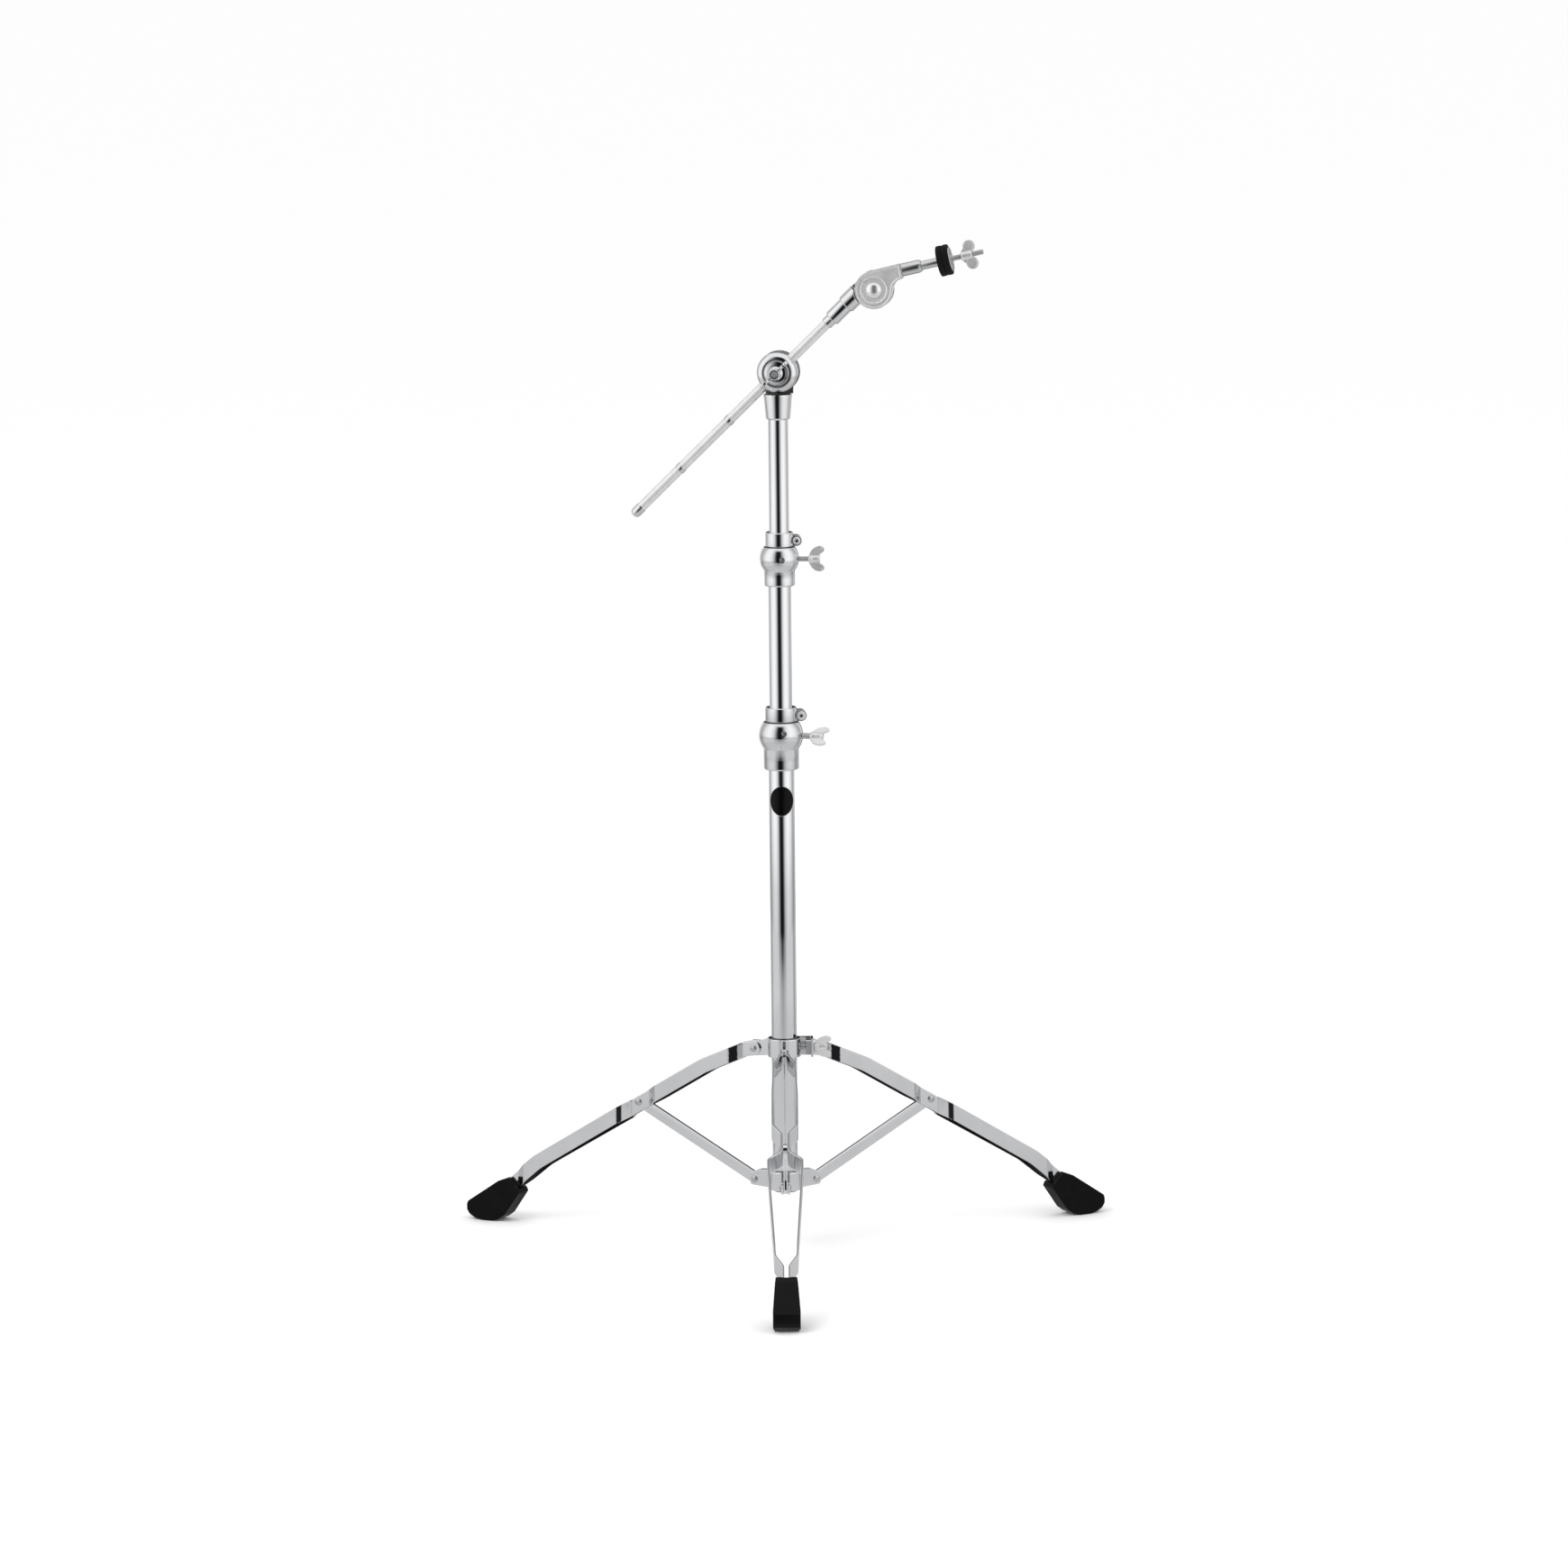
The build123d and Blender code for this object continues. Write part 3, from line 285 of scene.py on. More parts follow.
def wing_outline(r0, r1, z0, z1):
    """One wing from the hub out to a round lobe at the tip."""
    s, k = (r1 - r0) / 10.0, (z1 - z0) / 18.0
    pts = [(r0 * 0.3, z0 + 0.5 * k), (r0 + 0.8 * s, z0 + 0.8 * k), (r0 + 5.6 * s, z0 + 3.6 * k), (r0 + 8.8 * s, z0 + 7.4 * k),
           (r1, z0 + 11.6 * k), (r1 - 0.4 * s, z0 + 15.0 * k), (r1 - 2.4 * s, z1 - 0.4 * k), (r0 + 5.0 * s, z1),
           (r0 + 2.6 * s, z1 - 2.0 * k), (r0 + 1.0 * s, z1 - 5.0 * k), (r0 * 0.3, z1 - 5.6 * k)]
    return rounded(pts, [0, 1.2, 4, 4, 4, 3, 2.6, 3, 2.4, 1.5, 0], closed=True, n=5)


def wing_data(place, r0, r1, z0, z1, t, rim=0.0):
    """A pair of wings; the section is a lens, thickest in the lobe."""
    parts = []
    for side in (1, -1):
        outline = [(x * side, z) for x, z in wing_outline(r0, r1, z0, z1)]
        flat = Place(place.o, place.x, -place.y)
        parts.append(prism_data(flat, outline, -t / 2, t / 2))
        if rim:
            # rounded bead that follows the lobe
            cx, cz = (r1 - (r1 - r0) * 0.27) * side, z1 - (z1 - z0) * 0.235
            ball = []
            rr = (r1 - r0) * 0.27
            for r, h in arc(0, 0, 1.0, -90, 90, 10):
                ball.append((max(r, 0) * rr, h * rim))
            ball[0], ball[-1] = (0, -rim), (0, rim)
            parts.append(lathe_data(Place(flat.at(cx, cz, 0), flat.x, flat.z), ball, 28))
    return joined(parts)


def thread_data(place, r, z0, z1, pitch=1.0, depth=0.42, segs=40, per=6, fade0=0.0, fade1=1.2, start=None):
    """A rod with a real helical thread; fade0 is the run-out at its lower end and the upper end runs out over a fixed 1
    mm; fade1 is not used. start adds a plain length below z0.
    """
    rows = []
    if start is not None:
        rows += [(start, 0.0), (z0 - 0.3, 0.0)]
    n = int((z1 - z0) / pitch * per)
    for i in range(n + 1):
        z = z0 + (z1 - z0) * i / n
        f = 1.0
        if fade0:
            f = min(f, (z - z0) / fade0)
        rows.append((z, max(0.0, f)))
    verts, faces = [], []
    last = len(rows) - 1
    for i, (z, f) in enumerate(rows):
        end = max(0.0, 1.0 - (z1 - z) / 1.0) * 0.55
        for k in range(segs):
            a = 2 * math.pi * k / segs
            ph = ((z - z0) / pitch - k / segs) % 1.0
            saw = abs(2 * ph - 1.0)
            saw = min(1.0, max(0.0, (saw - 0.12) / 0.7))
            rr = r - depth * f * (1.0 - saw) - end
            verts.append(place.at(rr * math.cos(a), rr * math.sin(a), z))
    for i in range(last):
        for k in range(segs):
            j = (k + 1) % segs
            faces.append((i * segs + k, i * segs + j, (i + 1) * segs + j, (i + 1) * segs + k))
    lo, hi = len(verts), len(verts) + 1
    verts.append(place.at(0, 0, rows[0][0]))
    verts.append(place.at(0, 0, rows[-1][0] + 0.02))
    for k in range(segs):
        j = (k + 1) % segs
        faces.append((lo, j, k))
        faces.append((hi, last * segs + k, last * segs + j))
    return verts, faces


# ------------------------------------------------------------------ materials
def new_material(name):
    m = bpy.data.materials.new(name)
    m.use_nodes = True
    nt = m.node_tree
    return m, nt, nt.nodes["Principled BSDF"]


def node(nt, kind, **values):
    n = nt.nodes.new(kind)
    for key, value in values.items():
        if hasattr(n, key):
            setattr(n, key, value)
        else:
            n.inputs[key.replace("_", " ")].default_value = value
    return n


def turned_to(axis):
    """Euler angles that bring a direction onto local z for a Mapping node."""
    q = Vector(axis).normalized().rotation_difference(Vector((0, 0, 1)))
    return q.to_euler("XYZ")


def metal(name, tint, rough, rough_span, lines=None, axis=(0, 0, 1), grain=0.0, grain_scale=900.0, smudge=9.0, line_bump=0.02,
          dark=0.9, body=1.0):
    """Plated or bare metal: directional polishing lines, a faint film, fine grain and slightly worn edges."""
    m, nt, bsdf = new_material(name)
    link = nt.links.new
    bsdf.inputs["Metallic"].default_value = body
    coord = node(nt, "ShaderNodeTexCoord")
    mapping = node(nt, "ShaderNodeMapping")
    mapping.inputs["Rotation"].default_value = turned_to(axis)
    link(coord.outputs["Object"], mapping.inputs["Vector"])
    film = node(nt, "ShaderNodeTexNoise", Scale=smudge, Detail=4.0, Roughness=0.6)
    link(mapping.outputs["Vector"], film.inputs["Vector"])
    ramp = node(nt, "ShaderNodeValToRGB")
    ramp.color_ramp.elements[0].position = 0.32
    ramp.color_ramp.elements[0].color = (tint[0] * dark, tint[1] * dark, tint[2] * dark, 1)
    ramp.color_ramp.elements[1].position = 0.62
    ramp.color_ramp.elements[1].color = (*tint, 1)
    link(film.outputs["Fac"], ramp.inputs["Fac"])
    # worn edges: brighter along the convex corners
    geo = node(nt, "ShaderNodeNewGeometry")
    edge = node(nt, "ShaderNodeMapRange")
    edge.inputs["From Min"].default_value = 0.52
    edge.inputs["From Max"].default_value = 0.62
    edge.inputs["To Min"].default_value = 0.0
    edge.inputs["To Max"].default_value = 0.35
    link(geo.outputs["Pointiness"], edge.inputs["Value"])
    mix = node(nt, "ShaderNodeMix", data_type="RGBA")
    mix.inputs["B"].default_value = (min(1, tint[0] * 1.12), min(1, tint[1] * 1.12), min(1, tint[2] * 1.12), 1)
    for s in mix.inputs:
        if s.name == "B" and s.type == "RGBA":
            s.default_value = (min(1, tint[0] * 1.12), min(1, tint[1] * 1.12), min(1, tint[2] * 1.12), 1)
    link(edge.outputs["Result"], mix.inputs["Factor"])
    a_in = [s for s in mix.inputs if s.name == "A" and s.type == "RGBA"][0]
    out = [s for s in mix.outputs if s.type == "RGBA"][0]
    link(ramp.outputs["Color"], a_in)
    link(out, bsdf.inputs["Base Color"])
    # roughness from film and polishing lines
    height = None
    rsum = node(nt, "ShaderNodeMapRange")
    rsum.inputs["To Min"].default_value = rough
    rsum.inputs["To Max"].default_value = rough + rough_span
    if lines:
        stretch = node(nt, "ShaderNodeMapping")
        stretch.inputs["Scale"].default_value = lines
        link(mapping.outputs["Vector"], stretch.inputs["Vector"])
        lin = node(nt, "ShaderNodeTexNoise", Scale=1.0, Detail=3.0, Roughness=0.7)
        link(stretch.outputs["Vector"], lin.inputs["Vector"])
        both = node(nt, "ShaderNodeMath", operation="MULTIPLY")
        link(lin.outputs["Fac"], both.inputs[0])
        link(film.outputs["Fac"], both.inputs[1])
        rsum.inputs["From Min"].default_value = 0.12
        rsum.inputs["From Max"].default_value = 0.42
        link(both.outputs["Value"], rsum.inputs["Value"])
        height = lin.outputs["Fac"]
    else:
        rsum.inputs["From Min"].default_value = 0.3
        rsum.inputs["From Max"].default_value = 0.7
        link(film.outputs["Fac"], rsum.inputs["Value"])
    link(rsum.outputs["Result"], bsdf.inputs["Roughness"])
    normal = None
    if height is not None and line_bump:
        bump = node(nt, "ShaderNodeBump")
        bump.inputs["Strength"].default_value = line_bump
        bump.inputs["Distance"].default_value = 0.0001
        link(height, bump.inputs["Height"])
        normal = bump.outputs["Normal"]
    if grain:
        gn = node(nt, "ShaderNodeTexNoise", Scale=grain_scale, Detail=5.0, Roughness=0.65)
        link(mapping.outputs["Vector"], gn.inputs["Vector"])
        b2 = node(nt, "ShaderNodeBump")
        b2.inputs["Strength"].default_value = grain
        b2.inputs["Distance"].default_value = 0.00025
        link(gn.outputs["Fac"], b2.inputs["Height"])
        if normal is not None:
            link(normal, b2.inputs["Normal"])
        normal = b2.outputs["Normal"]
    if normal is not None:
        link(normal, bsdf.inputs["Normal"])
    return m


def moulded(name, colour, light, rough, rough_span, grain=0.35, grain_scale=1400.0, dust=0.12, spec=0.5, sheen=0.0):
    """Moulded rubber or plastic: fine grain, uneven gloss and a trace of dust on raised edges."""
    m, nt, bsdf = new_material(name)
    link = nt.links.new
    bsdf.inputs["Specular IOR Level"].default_value = spec
    if sheen:
        bsdf.inputs["Sheen Weight"].default_value = sheen
        bsdf.inputs["Sheen Roughness"].default_value = 0.5
    coord = node(nt, "ShaderNodeTexCoord")
    big = node(nt, "ShaderNodeTexNoise", Scale=60.0, Detail=5.0, Roughness=0.6)
    link(coord.outputs["Object"], big.inputs["Vector"])
    ramp = node(nt, "ShaderNodeValToRGB")
    ramp.color_ramp.elements[0].position = 0.35
    ramp.color_ramp.elements[0].color = (*colour, 1)
    ramp.color_ramp.elements[1].position = 0.75
    ramp.color_ramp.elements[1].color = (*light, 1)
    link(big.outputs["Fac"], ramp.inputs["Fac"])
    geo = node(nt, "ShaderNodeNewGeometry")
    edge = node(nt, "ShaderNodeMapRange")
    edge.inputs["From Min"].default_value = 0.52
    edge.inputs["From Max"].default_value = 0.68
    edge.inputs["To Min"].default_value = 0.0
    edge.inputs["To Max"].default_value = dust
    link(geo.outputs["Pointiness"], edge.inputs["Value"])
    mix = node(nt, "ShaderNodeMix", data_type="RGBA")
    a_in = [s for s in mix.inputs if s.name == "A" and s.type == "RGBA"][0]
    b_in = [s for s in mix.inputs if s.name == "B" and s.type == "RGBA"][0]
    b_in.default_value = (0.16, 0.16, 0.16, 1)
    out = [s for s in mix.outputs if s.type == "RGBA"][0]
    link(edge.outputs["Result"], mix.inputs["Factor"])
    link(ramp.outputs["Color"], a_in)
    link(out, bsdf.inputs["Base Color"])
    rr = node(nt, "ShaderNodeMapRange")
    rr.inputs["From Min"].default_value = 0.3
    rr.inputs["From Max"].default_value = 0.7
    rr.inputs["To Min"].default_value = rough
    rr.inputs["To Max"].default_value = rough + rough_span
    link(big.outputs["Fac"], rr.inputs["Value"])
    link(rr.outputs["Result"], bsdf.inputs["Roughness"])
    fine = node(nt, "ShaderNodeTexNoise", Scale=grain_scale, Detail=4.0, Roughness=0.6)
    link(coord.outputs["Object"], fine.inputs["Vector"])
    bump = node(nt, "ShaderNodeBump")
    bump.inputs["Strength"].default_value = grain
    bump.inputs["Distance"].default_value = 0.0002
    link(fine.outputs["Fac"], bump.inputs["Height"])
    link(bump.outputs["Normal"], bsdf.inputs["Normal"])
    return m


def felted(name):
    """Pressed wool felt: matted fibres in two sizes and a soft sheen."""
    m, nt, bsdf = new_material(name)
    link = nt.links.new
    bsdf.inputs["Roughness"].default_value = 0.95
    bsdf.inputs["Specular IOR Level"].default_value = 0.08
    bsdf.inputs["Sheen Weight"].default_value = 0.03
    bsdf.inputs["Sheen Roughness"].default_value = 0.6
    coord = node(nt, "ShaderNodeTexCoord")
    mapping = node(nt, "ShaderNodeMapping")
    mapping.inputs["Rotation"].default_value = turned_to(d_dir)
    mapping.inputs["Scale"].default_value = (1.0, 1.0, 2.6)
    link(coord.outputs["Object"], mapping.inputs["Vector"])
    fibre = node(nt, "ShaderNodeTexNoise", Scale=1500.0, Detail=6.0, Roughness=0.75, Distortion=1.6)
    link(mapping.outputs["Vector"], fibre.inputs["Vector"])
    tuft = node(nt, "ShaderNodeTexNoise", Scale=260.0, Detail=4.0, Roughness=0.6)
    link(mapping.outputs["Vector"], tuft.inputs["Vector"])
    ramp = node(nt, "ShaderNodeValToRGB")
    ramp.color_ramp.elements[0].position = 0.35
    ramp.color_ramp.elements[0].color = (0.0018, 0.0018, 0.002, 1)
    ramp.color_ramp.elements[1].position = 0.78
    ramp.color_ramp.elements[1].color = (0.010, 0.010, 0.0105, 1)
    link(fibre.outputs["Fac"], ramp.inputs["Fac"])
    link(ramp.outputs["Color"], bsdf.inputs["Base Color"])
    add = node(nt, "ShaderNodeMath", operation="MULTIPLY_ADD")
    add.inputs[1].default_value = 0.6
    link(tuft.outputs["Fac"], add.inputs[0])
    link(fibre.outputs["Fac"], add.inputs[2])
    bump = node(nt, "ShaderNodeBump")
    bump.inputs["Strength"].default_value = 0.8
    bump.inputs["Distance"].default_value = 0.0004
    link(add.outputs["Value"], bump.inputs["Height"])
    link(bump.outputs["Normal"], bsdf.inputs["Normal"])
    return m


MAT = {
    "chrome_tube": metal("chrome_tube_finish", (0.80, 0.81, 0.82), 0.035, 0.05, lines=(1400, 1400, 30), line_bump=0.015, dark=0.96),
    "chrome_cast": metal("chrome_cast_finish", (0.78, 0.785, 0.795), 0.06, 0.07, grain=0.035, grain_scale=700, smudge=40, dark=0.95),
    "chrome_strip": metal("chrome_strip_finish", (0.80, 0.805, 0.815), 0.07, 0.08, lines=(700, 700, 120), grain=0.02, grain_scale=1200,
                          smudge=25, line_bump=0.02, dark=0.94),
    "chrome_ball": metal("chrome_ball_finish", (0.78, 0.785, 0.795), 0.03, 0.04, lines=(700, 700, 2400), grain=0.004, grain_scale=500, smudge=40,
                         line_bump=0.008, dark=0.96),
    # painted shade: near-black metal for strip and bracket faces that lie in the shade of the facing plate
    "strip_inner": metal("strip_inner_finish", (0.028, 0.028, 0.03), 0.16, 0.10, lines=(700, 700, 120), grain=0.03, grain_scale=1200,
                         smudge=25, line_bump=0.02, dark=0.75),
    # darker metal for edge faces: a duller cut edge, partly painted shade
    "strip_edge": metal("strip_edge_finish", (0.30, 0.30, 0.31), 0.20, 0.12, lines=(700, 700, 300), grain=0.05, grain_scale=1200,
                        smudge=25, line_bump=0.03, dark=0.80),
    "turned_soft": metal("turned_soft_finish", (0.88, 0.88, 0.88), 0.11, 0.06, axis=m_dir, lines=(300, 300, 2600), grain=0.02,
                         grain_scale=1500, smudge=60, line_bump=0.03, dark=0.9, body=0.85),
    "knurled": metal("knurled_finish", (0.84, 0.84, 0.84), 0.40, 0.10, axis=b_dir, lines=(900, 900, 300), grain=0.05, grain_scale=3000,
                     smudge=60, line_bump=0.03, dark=0.93, body=0.72),
    "cast_satin": metal("cast_satin_finish", (0.82, 0.82, 0.82), 0.30, 0.10, grain=0.035, grain_scale=1300, smudge=70, dark=0.92, body=0.68),
    "wing_cast": metal("wing_cast_finish", (0.76, 0.76, 0.765), 0.26, 0.10, grain=0.04, grain_scale=900, smudge=80, dark=0.88, body=0.66),
    "turned_steel": metal("turned_steel_finish", (0.68, 0.685, 0.69), 0.16, 0.10, axis=d_dir, lines=(300, 300, 2600), grain=0.02,
                          grain_scale=1500, smudge=60, line_bump=0.04, dark=0.88),
    "screw_steel": metal("screw_steel_finish", (0.60, 0.60, 0.61), 0.17, 0.12, grain=0.12, grain_scale=1600, smudge=90, dark=0.82),
    "rubber": moulded("rubber_finish", (0.0012, 0.0012, 0.0014), (0.0034, 0.0034, 0.0036), 0.40, 0.16, grain=0.12, grain_scale=1700, dust=0.02, spec=0.11),
    "felt": felted("felt_finish"),
    "nylon": moulded("nylon_finish", (0.016, 0.016, 0.017), (0.03, 0.03, 0.031), 0.36, 0.12, grain=0.12, grain_scale=2200, dust=0.08),
    "badge": moulded("badge_finish", (0.0012, 0.0012, 0.0012), (0.003, 0.003, 0.003), 0.10, 0.08, grain=0.02, grain_scale=900, dust=0.01, spec=0.12),
    "fibre": moulded("fibre_finish", (0.10, 0.085, 0.07), (0.17, 0.15, 0.125), 0.6, 0.2, grain=0.5, grain_scale=900, dust=0.1),
    "machined": metal("machined_finish", (0.93, 0.93, 0.93), 0.24, 0.06, axis=m_dir, lines=(300, 300, 2600), grain=0.01, grain_scale=1500, smudge=60,
                      dark=0.95, body=0.62),
}
SLOT_OF = {n: (NODES[n].data.materials[0].name.split(".")[0] if NODES[n].data.materials else "chrome_cast") for n in NODES}


def finish_as(ob, slot_name, look=None):
    ob.data.materials.clear()
    ob.data.materials.append(MAT[look or slot_name])
    return ob


def piece(ob, body, nodes, slot_name, look=None):
    finish_as(ob, slot_name, look)
    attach(ob, body)
    if nodes:
        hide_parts(*([nodes] if isinstance(nodes, str) else nodes))
    return ob


# ================================================================== column tubes
base_tube = lathe("base_tube_shell", level(), [(12.9, 74.0), (14.3, 74.0), (14.3, 590.0), (12.9, 590.0)], 128, 0.35)
piece(base_tube, "base", "base_tube", "chrome_tube")
middle_tube = lathe("middle_tube_shell", level(), [(11.3, 310.0), (12.7, 310.0), (12.7, 790.0), (11.3, 790.0)], 128, 0.35)
piece(middle_tube, "middle_section", "middle_tube", "chrome_tube")
upper_tube = lathe("upper_tube_shell", level(), [(9.7, 540.0), (11.1, 540.0), (11.1, 985.0), (9.7, 985.0)], 128, 0.35)
cut(upper_tube, [bore(outward(90, 974.0), 1.8, 4, 16)])
soft(upper_tube, 32)
piece(upper_tube, "upper_section", "upper_tube", "chrome_tube")

end_cap = lathe("tube_end_plug", level(), [(0, 71.5), (13.4, 71.5), (14.3, 72.3), (14.3, 74.0), (12.9, 74.0), (12.5, 84.0),
                                           (10.6, 84.0), (10.6, 74.5), (0, 74.5)], 96, 0.3)
piece(end_cap, "base", "tube_end_cap", "nylon")


# ---- height clamps, turned with a ball-shaped body
def clamp_body(name, z0, z1, rc, rb, zb, ri, bolt_az, bolt_z, bolt_r, set_z):
    a0 = math.degrees(math.atan2(-math.sqrt(rb * rb - rc * rc), rc))
    a1 = math.degrees(math.atan2(z1 - zb, math.sqrt(rb * rb - (z1 - zb) ** 2)))
    ball = arc(0, zb, rb, a0, a1, 72)
    lip = ball[-1]
    low = rounded([(ri, z0 + 6), (ri, z0), (rc - 1.4, z0), (rc - 0.4, z0 + 0.5), (rc, z0 + 1.6), (rc, z0 + 8)], 0.7, n=4)
    top = rounded([ball[-2], lip, (lip[0] - 1.0, z1), (ri + 0.6, z1), (ri, z1 - 0.6), (ri, z1 - 6)], 0.35, n=4)
    # a small radius where the ball meets the collar
    prof = low + [(rc, ball[0][1] - 0.6)] + [(r + 0.0, h) for r, h in ball[1:-2]] + top[1:]
    prof = [(max(r, ri), h) for r, h in prof]
    ob = mesh_object(name, *lathe_data(level(), prof, 144), sharp=30)
    hole = lathe_data(outward(-82.5, set_z), [(0, 15), (2.7, 15), (2.7, rb - 2.1), (3.3, rb - 1.4), (3.3, rb + 6), (0, rb + 6)], 40)
    cut(ob, [bore(outward(bolt_az, bolt_z), bolt_r + 0.05, 5, 40), mesh_object("hole", *hole)])
    soft(ob, 30)
    return ob


lower_clamp = clamp_body("lower_clamp_ball", 559.0, 613.0, 19.7, 24.9, 598.0, 14.3, -15.0, 597.5, 3.4, 602.0)
piece(lower_clamp, "base", "lower_clamp_body", "chrome_cast", "chrome_ball")
upper_clamp = clamp_body("upper_clamp_ball", 768.5, 812.5, 17.2, 22.0, 799.5, 12.7, 0.0, 798.5, 3.0, 799.7)
piece(upper_clamp, "middle_section", "upper_clamp_body", "chrome_cast", "chrome_ball")


# ---- memory locks: a split ring with a clamping lug and its socket screw
def inset(outline, d):
    """A convex outline moved inward by d."""
    pts, n = [Vector(p) for p in outline], len(outline)
    mid = sum((Vector(p) for p in pts), Vector((0, 0))) / n
    out = []
    for i, p in enumerate(pts):
        e = (pts[(i + 1) % n] - pts[i - 1])
        nrm = Vector((e.y, -e.x)).normalized()
        if nrm.dot(p - mid) < 0:
            nrm = -nrm
        out.append(tuple(p - nrm * d))
    return out


def slab_data(place, outline, z0, z1, c):
    """A prism whose two rims are rounded off by c."""
    layers = [(inset(outline, c * (1 - math.sin(math.radians(a)))), z0 + c * (1 - math.cos(math.radians(a)))) for a in (0, 22, 45, 68, 90)]
    layers += [(inset(outline, c * (1 - math.cos(math.radians(a)))), z1 - c * (1 - math.sin(math.radians(a)))) for a in (0, 22, 45, 68, 90)]
    n = len(outline)
    verts = [place.at(x, y, z) for ol, z in layers for x, y in ol]
    faces = [tuple(range(n))[::-1], tuple((len(layers) - 1) * n + k for k in range(n))]
    for i in range(len(layers) - 1):
        for k in range(n):
            j = (k + 1) % n
            faces.append((i * n + k, i * n + j, (i + 1) * n + j, (i + 1) * n + k))
    return verts, faces


def memory_lock(tag, body, z0, z1, ri, ro, lug_x, lug_z, lug_r, head_r, az):
    neck = ro - 1.0
    prof = rounded([(ri, z0), (neck, z0), (neck, z0 + 0.9), (ro - 0.55, z0 + 0.9), (ro, z0 + 1.5), (ro, z1 - 0.9), (ro - 0.9, z1), (ri, z1)],
                   [0, 0, 0, 0.3, 0.6, 1.0, 0.8, 0.3], closed=True, n=5)
    ring = mesh_object(f"{tag}_memory_ring_split", *lathe_data(level(), prof, 144), sharp=30)
    pl = in_leg_plane(az)
    lug = [(ri + 1.6, lug_z - lug_r), (lug_x, lug_z - lug_r)] + arc(lug_x, lug_z, lug_r, -84, 84, 28) + \
          [(lug_x, lug_z + lug_r), (ri + 1.6, lug_z + lug_r)]
    unite(ring, [mesh_object("lug", *slab_data(pl, lug, -5.6, 5.6, 0.7))])
    slit = mesh_object("slit", *prism_data(pl, [(ri - 2, z0 - 3), (lug_x + 12, z0 - 3), (lug_x + 12, z1 + 3), (ri - 2, z1 + 3)], -0.8, 0.8))
    across = Place(pl.at(lug_x, lug_z, 0), pl.x, pl.z)
    groove = lathe_data(across, [(head_r + 0.55, 5.15), (head_r + 1.05, 5.15), (head_r + 1.05, 6.4), (head_r + 0.55, 6.4)], 56)
    cut(ring, [mesh_object("bore", *lathe_data(level(), [(0, z0 - 4), (ri, z0 - 4), (ri, z1 + 4), (0, z1 + 4)], 144)), slit,
               mesh_object("hole", *lathe_data(across, [(0, -9), (2.0, -9), (2.0, 9), (0, 9)], 40)), mesh_object("groove", *groove)])
    soft(ring, 30)
    piece(ring, body, f"{tag}_memory_ring", "chrome_cast", "chrome_ball")
    # painted shade: the narrow neck under the ring takes the black nylon finish, a painted dark shadow line where ring
    # meets clamp
    ring.data.materials.append(MAT["nylon"])
    for poly in ring.data.polygons:
        c = poly.center / MM
        if math.hypot(c.x, c.y - CY) < neck + 0.1 and c.z < z0 + 0.85 and abs(poly.normal.z) < 0.5 and math.hypot(c.x, c.y - CY) > ri + 0.6:
            poly.material_index = 1
    head = [(0, 8.55), (head_r - 1.1, 8.55), (head_r - 0.3, 8.1), (head_r, 7.4), (head_r, 5.75), (2.0, 5.75), (2.0, -8.0), (1.6, -8.55), (0, -8.55)]
    screw = mesh_object(f"{tag}_memory_socket_screw", *lathe_data(across, rounded(head, [0, 0.4, 0.3, 0.3, 0.2, 0.2, 0.2, 0.1, 0], n=3), 60), sharp=32)
    six = [(math.cos(math.radians(60 * k)), math.sin(math.radians(60 * k))) for k in range(6)]
    unite(screw, [mesh_object("nut", *slab_data(across, [(3.65 * x, 3.65 * y) for x, y in six], -7.95, -5.65, 0.35))])
    cut(screw, [mesh_object("key", *prism_data(across, [(1.9 * x, 1.9 * y) for x, y in six], 6.7, 12.0))])
    soft(screw, 32)
    piece(screw, body, f"{tag}_memory_screw", "screw_steel", "wing_cast")
    # painted shade: the faces inside the hex socket take the black nylon finish
    screw.data.materials.append(MAT["nylon"])
    for poly in screw.data.polygons:
        c = poly.center / MM - across.o
        h = c.dot(across.z)
        if 6.0 < h < 8.2 and (c - across.z * h).length < 1.95:
            poly.material_index = 1


memory_lock("lower", "lower_lock", 613.15, 630.0, 12.75, 17.7, 22.4, 620.3, 6.6, 5.0, 6.0)
memory_lock("upper", "upper_lock", 812.65, 829.5, 11.15, 15.6, 19.2, 819.8, 6.3, 4.4, 4.0)


# ---- rivets
def rivet_data(az, r, z, half, head_r=4.1, head_h=2.1):
    pl = in_leg_plane(az)
    across = Place(pl.at(r, z, 0), pl.x, -pl.z if az > 90 else pl.z)
    g = half + 0.08
    dome = [(head_r * math.cos(math.radians(a)), g + 0.35 + (head_h - 0.35) * math.sin(math.radians(a))) for a in range(0, 90, 6)]
    tail = rounded([(2.5, -g), (3.7, -g), (3.7, -g - 0.9), (3.0, -g - 1.5), (1.5, -g - 1.3), (2.2, -g - 0.6), (0, -g - 0.6)],
                   0.35, n=4)
    prof = [(0, g + head_h)] + dome[::-1] + [(head_r - 0.12, g), (2.5, g)] + tail
    return lathe_data(across, prof, 48)


rivs = mesh_object("brace_pivot_rivets", *joined([rivet_data(a, 38.0, 82.0, 5.1) for a in AZ.values()]), sharp=35)
piece(rivs, "base", "brace_rivets", "chrome_strip", "screw_steel")
rivs = mesh_object("leg_pivot_rivet_set", *joined([rivet_data(a, 38.0, 234.0, 4.8) for a in AZ.values()]), sharp=35)
piece(rivs, "leg_slider", "leg_pivot_rivets", "chrome_strip", "screw_steel")

